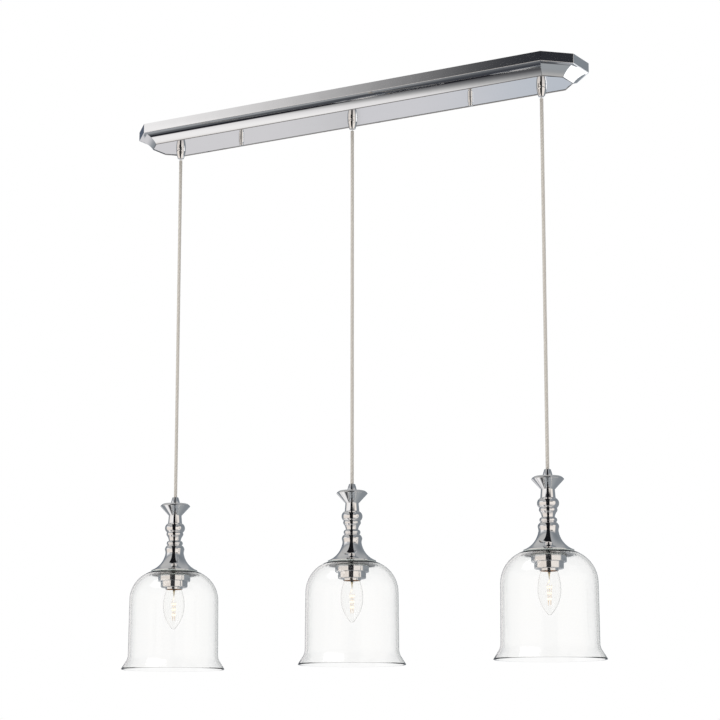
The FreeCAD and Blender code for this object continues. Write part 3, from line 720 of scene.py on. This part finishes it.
# %% Lamp holder
HOLDER_MOUTH = CUP_BOTTOM - 2.8
HOLDER_STEP = HOLDER_MOUTH + 11.0
HOLDER_FLOOR = -700.1
HOLDER_TOP = -696.9
COLLAR_TOP = -693.7
PLATED_FROM = 12.4
holder = spun(
    trace(
        (0, HOLDER_TOP),
        (TUBE_HOLE, HOLDER_TOP),
        (TUBE_HOLE, COLLAR_TOP),
        (8.0, COLLAR_TOP),
        (8.0, HOLDER_TOP),
        (13.0, HOLDER_TOP),
        (13.0, HOLDER_MOUTH),
        (11.9, HOLDER_MOUTH),
        (11.9, HOLDER_STEP),
        (6.9, HOLDER_STEP),
        (6.9, HOLDER_FLOOR),
        (0, HOLDER_FLOOR),
    )
)
for face in holder.faces:
    if face.calc_center_median().xy.length > PLATED_FROM * MM:
        face.material_index = 1
hang_three(
    "plated_holder",
    mesh_of("plated_holder", holder, BROWN, CHROME),
    "pendant",
    "brown_plastic",
    "lamp_holder",
)

# %% [markdown]
# The screw shell is rolled brass, so its wall follows the thread in soft waves. A true screw would
# be a spin with a rise, but its two ends would stay open, and from below it looks the same as a
# stack of waves.

# %% Contacts and bulb base
THREAD_PITCH = 2.5
BULB_TOP = -716.6
BULB_SEAT = -701.0
THREAD_TOP = BULB_SEAT - 3.4


def waves(radius, top, bottom, depth):
    """Thread waves down a wall, with crests that stand in from the given radius by a depth."""
    turns = round((top - bottom) / THREAD_PITCH)
    half = (top - bottom) / turns / 2
    swell = depth * 0.45
    steps = []
    for turn in range(turns):
        start = top - (top - bottom) * turn / turns
        steps += [(radius - depth, start - half, swell), (radius, start - 2 * half, -swell)]
    return steps


shell_inside = [(6.35, HOLDER_FLOOR)] + waves(6.35, HOLDER_FLOOR, HOLDER_STEP, 0.25)
shell = spun(trace((6.85, HOLDER_FLOOR), *shell_inside, (6.85, HOLDER_STEP)), 0.05)
TIP_GAP = 0.06
tongue = BULB_SEAT + TIP_GAP
contact = spun(trace((0, HOLDER_FLOOR), (2.6, HOLDER_FLOOR), (2.6, tongue), (0, tongue)))
join(shell, contact)
hang_three(
    "brass_contacts",
    mesh_of("brass_contacts", shell, BRASS),
    "pendant",
    "brass",
    "socket_contacts",
)

base_wall = waves(5.9, THREAD_TOP, BULB_TOP + 2.0, 0.35)
base = spun(
    trace(
        (0, BULB_SEAT),
        (2.2, BULB_SEAT),
        (2.2, BULB_SEAT - 1.0),
        (5.9, BULB_SEAT - 2.6),
        (5.9, THREAD_TOP),
        *base_wall,
        (5.9, BULB_TOP),
        (0, BULB_TOP),
    ),
    0.15,
)
hang_three("screw_base", mesh_of("screw_base", base, BRASS), "lamp", "brass", "bulb_base")

# %% [markdown]
# ## The bell of glass
# Blown glass has a wall of real thickness, and both its faces bend the light, so the bell is one
# closed outline: down the outside, round the polished rim, and up the inside to the thick flat
# neck. The rim is eased much more than the other corners, as a flame does it.

# %% Bell shade
SHADE_TOP = FOOT - 1.0
NECK = -705.0
SHOULDER = -744.5
WAIST = -826.735
RIM = SHADE_TOP - 148.2
FLAME_EASE = 1.2
bell = spun(
    trace(
        (21.3, SHADE_TOP),
        (36.0, SHADE_TOP),
        (67.6, SHOULDER, 8.72),
        (68.2, WAIST),
        (70.935, -836.274, -0.697),
        (78.7, RIM),
        (75.162, RIM),
        (68.391, -837.863),
        (65.2, WAIST, 0.814),
        (64.6, SHOULDER),
        (39.227, NECK, -6.89),
        (21.3, NECK),
    ),
    FLAME_EASE,
)
bell_mesh = mesh_of("glass_bell", bell, SHADE_GLASS)
hang_three("glass_bell", bell_mesh, "pendant", "shade_glass", "shade")

# %% Soft washers on both faces of the neck
def washer_between(top, bottom, outside):
    """A flat ring round the cup."""
    return spun(trace((20.8, top), (outside, top), (outside, bottom), (20.8, bottom)))


washers = washer_between(FOOT, SHADE_TOP, 34.8)
join(washers, washer_between(RING_TOP + 1.0, RING_TOP, 24.2))
hang_three(
    "soft_washers",
    mesh_of("soft_washers", washers, RUBBER),
    "pendant",
    "clear_rubber",
    "shade_gaskets",
)

# %% [markdown]
# ## The torpedo bulb
# The bulb is thin blown glass that swells to a belly and runs out to a small round tip. Inside, a
# glass stem carries a zigzag of lit filament.

# %% Envelope and stem
BELLY = -752.6
envelope = spun(
    trace(
        (0, -788.1),
        (2.547, -787.0, -0.287),
        (16.2, BELLY, -3.538),
        (6.3, BULB_TOP, -2.52),
        (5.367, BULB_TOP),
        (15.4, BELLY, 2.555),
        (1.965, -786.451, 3.481),
        (0, -787.3, 0.221),
    )
)
envelope_mesh = mesh_of("torpedo_bulb", envelope, BULB_GLASS)
hang_three("torpedo_bulb", envelope_mesh, "lamp", "bulb_glass", "bulb_envelope")
STEM_TIP = BULB_TOP - 22.0
stem = spun(
    trace((0, BULB_TOP), (2.6, BULB_TOP), (2.3, -727.0), (0.5, STEM_TIP, -0.2), (0, STEM_TIP)), 0.2
)
hang_three("glass_stem", mesh_of("glass_stem", stem, STEM_GLASS), "lamp", "bulb_glass", "bulb_stem")

# %% [markdown]
# ## Cords
# Each pendant hangs on one straight cord, seen from its grip at the canopy to the one on the
# spindle. A cord is a curve with a round bevel: a NURBS spline through the route's points, whose
# length can be checked. Hanging free, it is as straight as its load pulls it.

# %% The three cords
CORD_PIVOT = -49.3
CORD_DIAMETER = 5.0
CORD_RADIUS = CORD_DIAMETER / 2


def wire(name, radius, points, material):
    """A curve with a round section along one smooth line, from points in millimetres."""
    curve = bpy.data.curves.new(name, "CURVE")
    curve.dimensions = "3D"
    curve.bevel_depth = radius * MM
    curve.bevel_resolution = 6
    curve.use_fill_caps = True
    spline = curve.splines.new("NURBS")
    spline.points.add(len(points) - 1)
    for knot, point in zip(spline.points, points):
        knot.co = (*(Vector(point) * MM), 1.0)
    spline.order_u = 3
    spline.use_endpoint_u = True
    spline.resolution_u = 12
    curve.materials.append(material)
    piece = bpy.data.objects.new(name, curve)
    bpy.context.scene.collection.objects.link(piece)
    return piece


for side, x in SIDES.items():
    levels = (CORD_PIVOT, -180.0, -320.0, -460.0, PENDANT_MOUTH)
    points = [(x / MM, 0, level) for level in levels]
    cord = wire(f"straight_cord_{side}", CORD_RADIUS, points, CORD)
    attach(cord, f"cord_run_{side}")
    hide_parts(f"cord_{side}")
print("three cords of", round(CORD_PIVOT - PENDANT_MOUTH, 1), "mm below their bend")

# %% [markdown]
# The cord bends at one place, the mouth of its grip. A ball of the cord's own thickness fills the
# bend at every angle. Below, the cord runs on inside the spindle to the lamp holder.

# %% The bend below each canopy grip, and the cord inside each spindle
BALL_SWELL = -0.73
BALL = trace(
    (0, CORD_PIVOT + CORD_RADIUS),
    (CORD_RADIUS, CORD_PIVOT, BALL_SWELL),
    (0, CORD_PIVOT - CORD_RADIUS, BALL_SWELL),
)
for side, x in SIDES.items():
    bend = mesh_of("cord_bend", spun(BALL), CORD)
    bend.transform(Matrix.Translation((x, 0, 0)))
    set_up(f"cord_bend_{side}", bend, f"bend_{side}", "cord_jacket", f"cord_bead_{side}")
    points = [(x / MM, 0, level) for level in (PENDANT_MOUTH - 0.1, -640.0, HOLDER_TOP)]
    inner = wire(f"inner_cord_run_{side}", CORD_RADIUS, points, CORD)
    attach(inner, f"pendant_{side}")
    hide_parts(f"inner_cord_{side}")
print("three bends and three inner cords")

# %% [markdown]
# ## Lit filament
# The filament hangs from the stem as a zigzag and glows a warm white. The photograph shows it as a
# few bright spots with dimmer wire between them, so the shader's emission comes and goes down the
# legs, and the lowest turns stay dark.

# %% Filament
GLOW_TOP = -746.6
GLOW_BOTTOM = -774.6
GLOW_LEGS = 4
GLOW_SPREAD = 3.6
GLOW_RADIUS = 0.4
HEAT_PITCH = 0.008

material, finish, shader = new_finish(
    "lit_filament", Metallic=1.0, Roughness=0.35, Emission_Strength=1.4
)
place = on_object(finish)
height = finish.parts(place)[2]
heat_phase = (height + 0.75) * (2 * math.pi / HEAT_PITCH)
heat = heat_phase.maths("COSINE", heat_phase)
heat = finish.step(heat, 0.1, 1.0) * finish.step(height, -0.772, -0.767)
glow = finish.blend(heat, (0.12, 0.07, 0.03, 1), (1.0, 0.72, 0.4, 1))
plug(finish.tree, shader.inputs["Emission Color"], glow)
cold_and_hot = finish.blend(heat, (0.8, 0.78, 0.74, 1), (0.9, 0.8, 0.6, 1))
plug(finish.tree, shader.inputs["Base Color"], cold_and_hot)
GLOWING = material

for side, x in SIDES.items():
    points = [(x / MM, 0, STEM_TIP), (x / MM, 0, STEM_TIP - 3.0)]
    for leg in range(GLOW_LEGS + 1):
        across = x / MM + GLOW_SPREAD * (2 * leg / GLOW_LEGS - 1)
        level = GLOW_BOTTOM if leg % 2 else GLOW_TOP
        points += [(across - GLOW_RADIUS, 0, level), (across + GLOW_RADIUS, 0, level)]
    filament = wire(f"zigzag_filament_{side}", GLOW_RADIUS, points, GLOWING)
    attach(filament, f"lamp_{side}")
    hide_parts(f"bulb_filament_{side}")
print("three filaments of", GLOW_LEGS, "legs")

# %% [markdown]
# ## Wiring inside the canopy
# From above, the wiring shows. Each cord's jacket comes up through its grip and stops at the plate,
# and its two conductors go on to the twist-on connectors, which are ribbed for the fingers: a
# turned cone whose rings of points are pulled in. The leads are smooth curves along their routes.

# %% Connectors
CONNECTOR_X = 0.096
CONNECTOR_Y = 0.011
CONNECTOR_LEVEL = -0.0153
RIBS = 14
RIB_DEPTH = 0.05  # the half of the share by which a groove is pulled in

cone = spun(
    trace(
        (0, 12.0),
        (4.2, 12.0),
        (4.2, 0),
        (6.4, 0),
        (6.4, 2.4),
        (6.1, 3.2),
        (4.0, 21.6),
        (3.6, 24.0),
        (0, 24.0),
    ),
    0.3,
)
for vert in cone.verts:
    if 2.8 * MM < vert.co.z < 22.2 * MM and vert.co.xy.length > 3.8 * MM:
        pull = RIB_DEPTH * (1 - math.cos(RIBS * math.atan2(vert.co.y, vert.co.x)))
        vert.co.xy *= 1 - pull
lying = Matrix.Rotation(math.pi / 2, 3, "Y")
bmesh.ops.rotate(cone, verts=cone.verts[:], cent=(0, 0, 0), matrix=lying)
bmesh.ops.translate(cone, verts=cone.verts[:], vec=(CONNECTOR_X, -CONNECTOR_Y, CONNECTOR_LEVEL))
repeat(cone, (0, 2 * CONNECTOR_Y, 0))
cones_mesh = mesh_of("ribbed_connectors", cone, ORANGE)
set_up("ribbed_connectors", cones_mesh, "ceiling_unit", "connector_plastic", "wire_connectors")

# %% Jackets and leads
PLATE_TOP = -27.5
LEAD_RADIUS = 1.2
LEAD_LEVEL = -16.5
LEAD_APART = 1.25
LEAD_END = 108.0
LANE = 27.0


def lead_route(place, across):
    """A conductor's corners, in millimetres: place is -1, 0 or 1, across is -1 or 1."""
    x = place * SPACING / MM
    level = LEAD_LEVEL + (0 if place else LEAD_RADIUS + LEAD_APART)
    entry = across * (11.0 + place * LEAD_APART)
    up = [(x, across * LEAD_APART, PLATE_TOP), (x, across * LEAD_APART, level)]
    end = (LEAD_END, entry, level)
    if place == 1:
        lane = across * LANE
        return up + [(x - 16, lane, level), (80, lane, level), (80, entry, level), end]
    return up + [(x + 16, entry, level), end]


def inside_wire(name, radius, points, material):
    """A wire that is fixed inside the canopy."""
    piece = wire(name, radius, points, material)
    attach(piece, "ceiling_unit")
    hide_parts("canopy_leads")


for place, (side, x) in enumerate(SIDES.items(), -1):
    run = [(x / MM, 0, level) for level in (PLATE_TOP, -37.0, CORD_PIVOT + 3.0)]
    inside_wire(f"cord_jacket_{side}", CORD_RADIUS, run, CORD)
    for across, row, skin in ((-1, "front", IVORY), (1, "back", DARK_WIRE)):
        route = lead_route(place, across)
        inside_wire(f"lead_{side}_{row}", LEAD_RADIUS, route, skin)
print("six leads and three jackets")

# %% [markdown]
# ## Parts that keep their CAD shape
# The bar on the ceiling and the threaded parts are right as they are, so they only get a finish.

# %% Finishes for the parts that are kept
KEPT = {"ground_screw": GREEN}
for name in ("mounting_bar", "finial_studs", "stud_nuts", "grip_nipples", "grip_nuts"):
    KEPT[name] = ZINC
for side in SIDES:
    KEPT[f"lamp_tube_{side}"] = ZINC
for name, metal in KEPT.items():
    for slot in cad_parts[name].material_slots:
        slot.material = metal
print("finished", len(KEPT), "kept parts")

# %% [markdown]
# ## The studio
# Chrome shows the room, so the room is built as a product photographer would: broad pale walls on
# both sides, a dark gap where the viewer stands, a dark strip over it and a bluer room behind. The
# walls are drawn by direction: a turn round the light, from the viewer, and a slope from the level.
# Only rays that a polished surface has thrown back see it. The light on everything else is one even
# white, and the eye sees white paper.

# %% Directions in the room
world = bpy.data.worlds.new("studio")
bpy.context.scene.world = world
world.use_nodes = True
room = Finish(world.node_tree)
away = room.node("ShaderNodeTexCoord", {}, {}, "Generated")
TO_VIEWER = (0.513, -0.858, 0)
TO_LEFT = (-0.858, -0.513, 0)
dot = {"operation": "DOT_PRODUCT"}
ahead = room.node("ShaderNodeVectorMath", dot, {0: away, 1: TO_VIEWER}, "Value")
leftwards = room.node("ShaderNodeVectorMath", dot, {0: away, 1: TO_LEFT}, "Value")
upwards = room.parts(away)[2]
turn = leftwards.maths("ARCTAN2", leftwards, ahead) * (180 / math.pi)
slope = upwards.maths("ARCSINE", upwards) * (180 / math.pi)


def panel(turns, slopes, soft=3.0):
    """1 inside a range of turns and slopes in degrees, 0 outside, with a soft edge."""
    return (
        room.step(turn, turns[0] - soft, turns[0] + soft)
        * room.step(turn, turns[1] + soft, turns[1] - soft)
        * room.step(slope, slopes[0] - soft, slopes[0] + soft)
        * room.step(slope, slopes[1] + soft, slopes[1] - soft)
    )


# %% [markdown]
# A wall is seldom one tone, so most take their colour from a ramp along the slope or along the
# direction to the left. The stops were tuned until the chrome agreed with the photograph from this
# camera. They fit this one view, and the chrome has no such model from any other side.

# %% Tones of the walls
low_light = room.ramp(
    leftwards - 0.37 * ahead,
    (
        (0.44, (0.03, 0.03, 0.034, 1)),
        (0.48, (0.1, 0.1, 0.105, 1)),
        (0.52, (0.26, 0.26, 0.265, 1)),
        (0.55, (0.5, 0.495, 0.49, 1)),
        (0.58, (0.84, 0.82, 0.82, 1)),
        (0.63, (1.0, 0.98, 0.97, 1)),
    ),
)
far_floor = room.ramp(
    slope / 90 + 1,
    (
        (0.17, (0.34, 0.36, 0.38, 1)),
        (0.24, (0.28, 0.3, 0.32, 1)),
        (0.30, (0.045, 0.048, 0.06, 1)),
        (0.37, (0.075, 0.08, 0.09, 1)),
        (0.42, (0.13, 0.135, 0.145, 1)),
        (0.445, (0.32, 0.33, 0.34, 1)),
        (0.5, (0.36, 0.37, 0.39, 1)),
    ),
)
left_light = room.ramp(
    slope / 180 + 0.5,
    (
        (0.067, (0.34, 0.36, 0.38, 1)),
        (0.156, (0.46, 0.46, 0.455, 1)),
        (0.222, (0.62, 0.59, 0.57, 1)),
        (0.311, (0.84, 0.78, 0.73, 1)),
        (0.4, (0.92, 0.84, 0.77, 1)),
        (0.556, (0.92, 0.84, 0.77, 1)),
        (0.585, (1.0, 0.98, 0.97, 1)),
    ),
)
right_light = room.ramp(
    slope / 180 + 0.5,
    (
        (0.067, (0.32, 0.34, 0.36, 1)),
        (0.156, (0.36, 0.37, 0.38, 1)),
        (0.222, (0.5, 0.49, 0.48, 1)),
        (0.311, (0.8, 0.74, 0.7, 1)),
        (0.4, (1.0, 0.93, 0.86, 1)),
    ),
)
ceiling = room.ramp(
    leftwards / 2 + 0.5,
    (
        (0.05, (0.19, 0.21, 0.23, 1)),
        (0.2, (0.25, 0.27, 0.29, 1)),
        (0.35, (0.38, 0.39, 0.4, 1)),
        (0.5, (0.44, 0.445, 0.45, 1)),
        (0.7, (0.54, 0.535, 0.525, 1)),
        (0.9, (0.5, 0.495, 0.49, 1)),
        (0.98, (0.34, 0.35, 0.36, 1)),
    ),
)
print("five walls that fade")

# %% The walls, each over the last: turns, slopes, softness of the edge and tone
WALLS = (
    ("left wall", (0, 108), (-98, 26), 8, left_light),
    ("right wall", (-78, 0), (-98, 26), 8, right_light),
    ("ceiling", (-200, 200), (33, 110), 8, ceiling),
    ("floor on the left", (58, 121), (-67, -42), 4, low_light),
    ("floor behind on the left", (130, 190), (-98, -40), 3, far_floor),
    ("floor behind on the right", (-190, -150), (-98, -42), 3, far_floor),
    ("edge of the floor", (117, 133), (-67, -50), 3, (0.015, 0.015, 0.02, 1)),
    ("table behind", (150, 182), (-30, -6), 5, (0.7, 0.69, 0.705, 1)),
    ("table behind, middle", (-182, -170), (-30, -6), 2, (0.68, 0.675, 0.7, 1)),
    ("table behind, on the right", (-176.5, -166), (-30, -6), 2.5, (0.54, 0.58, 0.64, 1)),
    ("door behind on the left", (146, 170), (11, 22), 3, (0.1, 0.12, 0.16, 1)),
    ("flag over the right wall", (-46, -22), (16, 25), 1.5, (0.05, 0.055, 0.065, 1)),
)
reflected = room.ramp(
    slope / 180 + 0.5,
    (
        (0.067, (0.34, 0.36, 0.38, 1)),
        (0.156, (0.36, 0.38, 0.39, 1)),
        (0.25, (0.28, 0.3, 0.32, 1)),
        (0.55, (0.25, 0.275, 0.3, 1)),
        (0.95, (0.2, 0.22, 0.25, 1)),
    ),
)
for name, turns, slopes, soft, colour in WALLS:
    reflected = room.blend(panel(turns, slopes, soft), reflected, colour)
    print("room:", name)

# %% The dark strip over the walls, and the dark gap where the viewer stands
fading = room.step(turn, 69, 56.5) * room.step(turn, -48, -44)
strip = fading * room.step(slope, 16.2, 16.6) * room.step(slope, 25, 20)
reflected = room.blend(strip, reflected, (0.028, 0.03, 0.036, 1))
gap = room.step(leftwards, -0.22, -0.17) * room.step(leftwards, 0.45, 0.4)
narrow = room.step(turn, -15, -12) * room.step(turn, 28, 25)
wide = room.step(slope, -45, -35)
gap = gap * room.step(ahead, -0.05, 0.05) * narrow.maths("MAXIMUM", narrow, wide)
reflected = room.blend(gap, reflected, (0.008, 0.008, 0.01, 1))
print("a room of", len(WALLS) + 2, "surfaces")

# %% [markdown]
# Which part of the room a ray sees depends on its path. The eye, straight or through glass, sees
# white paper, and plain surfaces are lit by an even white. Polished metal sees the room, also from
# inside a bell: such a ray has crossed four faces of glass, two on its way in and two out. With any
# other count it is taken for light that the glass threw back, and sees a paler ramp. The count only
# fits one bell in the way, so it goes wrong where several bells stand behind each other.

# %% What each ray sees
plain = room.node("ShaderNodeBackground", {}, {"Color": grey(0.86), "Strength": 1.0})
mirror = room.node("ShaderNodeBackground", {}, {"Color": reflected, "Strength": 1.0})
paper = room.node("ShaderNodeBackground", {}, {"Color": grey(1.0), "Strength": 1.0})
in_glass = room.ramp(
    turn / 360 + 0.5,
    (
        (0.18, (0.82, 0.82, 0.81, 1)),
        (0.24, (0.6, 0.63, 0.61, 1)),
        (0.3, (0.7, 0.71, 0.69, 1)),
        (0.36, (0.97, 0.95, 0.94, 1)),
        (0.7, (1.0, 0.97, 0.96, 1)),
    ),
)
thrown_back = room.node("ShaderNodeLightPath", {}, {}, "Glossy Depth")
crossings = room.node("ShaderNodeLightPath", {}, {}, "Transmission Depth")
seen = room.node("ShaderNodeLightPath", {}, {}, "Is Camera Ray")
through = room.node("ShaderNodeLightPath", {}, {}, "Is Transmission Ray")
straight = seen.maths("MAXIMUM", seen, through)
few = crossings.maths("LESS_THAN", crossings, 3.5)
many = crossings.maths("GREATER_THAN", crossings, 4.5)
in_wall = through * few.maths("MAXIMUM", few, many) * room.step(slope, -48, -38)
glassy = room.node("ShaderNodeBackground", {}, {"Color": in_glass, "Strength": 1.0})
shown = room.node("ShaderNodeMixShader", {}, {0: straight, 1: plain, 2: paper})
polished = room.node("ShaderNodeMixShader", {}, {0: in_wall, 1: mirror, 2: glassy})
shown = room.node("ShaderNodeMixShader", {}, {0: thrown_back, 1: shown, 2: polished})
plug(room.tree, world.node_tree.nodes["World Output"].inputs["Surface"], shown)
print("studio world ready")

# %% [markdown]
# ## Floor
# A wide pale floor lies below the shades. It shows white to the eye, as the paper round the light
# does, and still takes the soft shadow of the one large lamp. It glows a little, so that its far
# side, where the lamp hardly reaches, isn't grey.

# %% Floor
FLOOR_LEVEL = -2.4
FLOOR_RADIUS = 9.0
floor_shape = bmesh.new()
bmesh.ops.create_circle(floor_shape, cap_ends=True, segments=96, radius=FLOOR_RADIUS)
bmesh.ops.translate(floor_shape, verts=floor_shape.verts[:], vec=(0, 0, FLOOR_LEVEL))
material, finish, shader = new_finish("pale_floor", Specular_IOR_Level=0.0, Emission_Strength=0.14)
speckle = finish.noise(on_object(finish), 40.0)
plug(finish.tree, shader.inputs["Base Color"], finish.blend(speckle, grey(0.97), grey(1.0)))
plug(finish.tree, shader.inputs["Roughness"], 0.85 + 0.1 * speckle)
plug(finish.tree, shader.inputs["Emission Color"], finish.blend(speckle, grey(0.97), grey(1.0)))
floor = bpy.data.objects.new("floor", mesh_of("floor", floor_shape, material))
bpy.context.scene.collection.objects.link(floor)
floor.visible_glossy = False
floor.visible_transmission = False

print("floor at", FLOOR_LEVEL, "m")

# %% [markdown]
# ## Flags and a card
# A photographer puts dark stripes into bright metal with pieces of black cloth, called flags, and
# bright ones with a white card. A flag stands before each grip and nut, and the card behind the
# canopy's right end. Only polished surfaces see them. The cove is much nearer to the flags than the
# grips are, and would mirror them as dashes, so a flag is left out for rays that are too short.

# %% Black flags
FLAG_PLACE = -0.1
FLAG_TOP = -0.0295
FLAG_BOTTOM = -0.07
FLAG_LEFT = 0.01
FLAG_RIGHT = 0.05
SHORT_RAY = 0.084


def leave_out(finish, shader, where):
    """Makes a surface see-through where the value is 1."""
    solid = Value(finish.tree, shader.outputs[0])
    clear = finish.node("ShaderNodeBsdfTransparent", {}, {})
    shown = finish.node("ShaderNodeMixShader", {}, {0: where, 1: solid, 2: clear})
    plug(finish.tree, finish.tree.nodes["Material Output"].inputs["Surface"], shown)


def screen(name, shape, material):
    """Sets up a flat shape that only polished surfaces see."""
    piece = bpy.data.objects.new(name, mesh_of(name, shape, material))
    bpy.context.scene.collection.objects.link(piece)
    piece.visible_camera = False
    piece.visible_diffuse = False
    piece.visible_transmission = False
    piece.visible_shadow = False


flags = bmesh.new()
for x in (-SPACING, -NUT_SPACING / 2, 0, NUT_SPACING / 2, SPACING):
    left, right = x - FLAG_LEFT, x + FLAG_RIGHT
    ends = ((left, FLAG_TOP), (right, FLAG_TOP), (right, FLAG_BOTTOM), (left, FLAG_BOTTOM))
    flags.faces.new([flags.verts.new((place, FLAG_PLACE, level)) for place, level in ends])
material, finish, shader = new_finish("black_cloth", Specular_IOR_Level=0.0, Roughness=1.0)
weave = finish.noise(on_object(finish), 900.0)
plug(finish.tree, shader.inputs["Base Color"], finish.blend(weave, grey(0.004), grey(0.012)))
ray = finish.node("ShaderNodeLightPath", {}, {}, "Ray Length")
leave_out(finish, shader, ray.maths("LESS_THAN", ray, SHORT_RAY))
screen("black_flags", flags, material)
print("five flags")

# %% White card
card = bmesh.new()
ends = ((0.2, 0.39, -0.28), (0.62, 0.39, -0.28), (0.83, 0.74, -0.15), (0.14, 0.74, -0.15))
card.faces.new([card.verts.new(end) for end in ends])
material, finish, shader = new_finish("white_card", Emission_Strength=0.85)
fibres = finish.noise(on_object(finish), 60.0)
plug(finish.tree, shader.inputs["Emission Color"], finish.blend(fibres, grey(0.94), grey(1.0)))
plug(finish.tree, shader.inputs["Base Color"], finish.blend(fibres, grey(0.8), grey(0.9)))
leave_out(finish, shader, finish.node("ShaderNodeNewGeometry", {}, {}, "Backfacing"))
screen("white_card", card, material)
print("one card")

# %% [markdown]
# ## Lamp
# One large round lamp, high on the left, lights the plain surfaces. Metal doesn't mirror it.

# %% Lamp
lamp_data = bpy.data.lights.new("softbox", "AREA")
lamp_data.shape = "DISK"
lamp_data.size = 2.5
lamp_data.energy = 60
lamp = bpy.data.objects.new("softbox", lamp_data)
lamp.location = (-1.2, -1.6, 2.2)
lamp.rotation_euler = Vector((1.2, 1.6, -3.0)).to_track_quat("-Z", "Y").to_euler()
lamp.visible_glossy = False
bpy.context.scene.collection.objects.link(lamp)
print("lamp at", tuple(lamp.location))
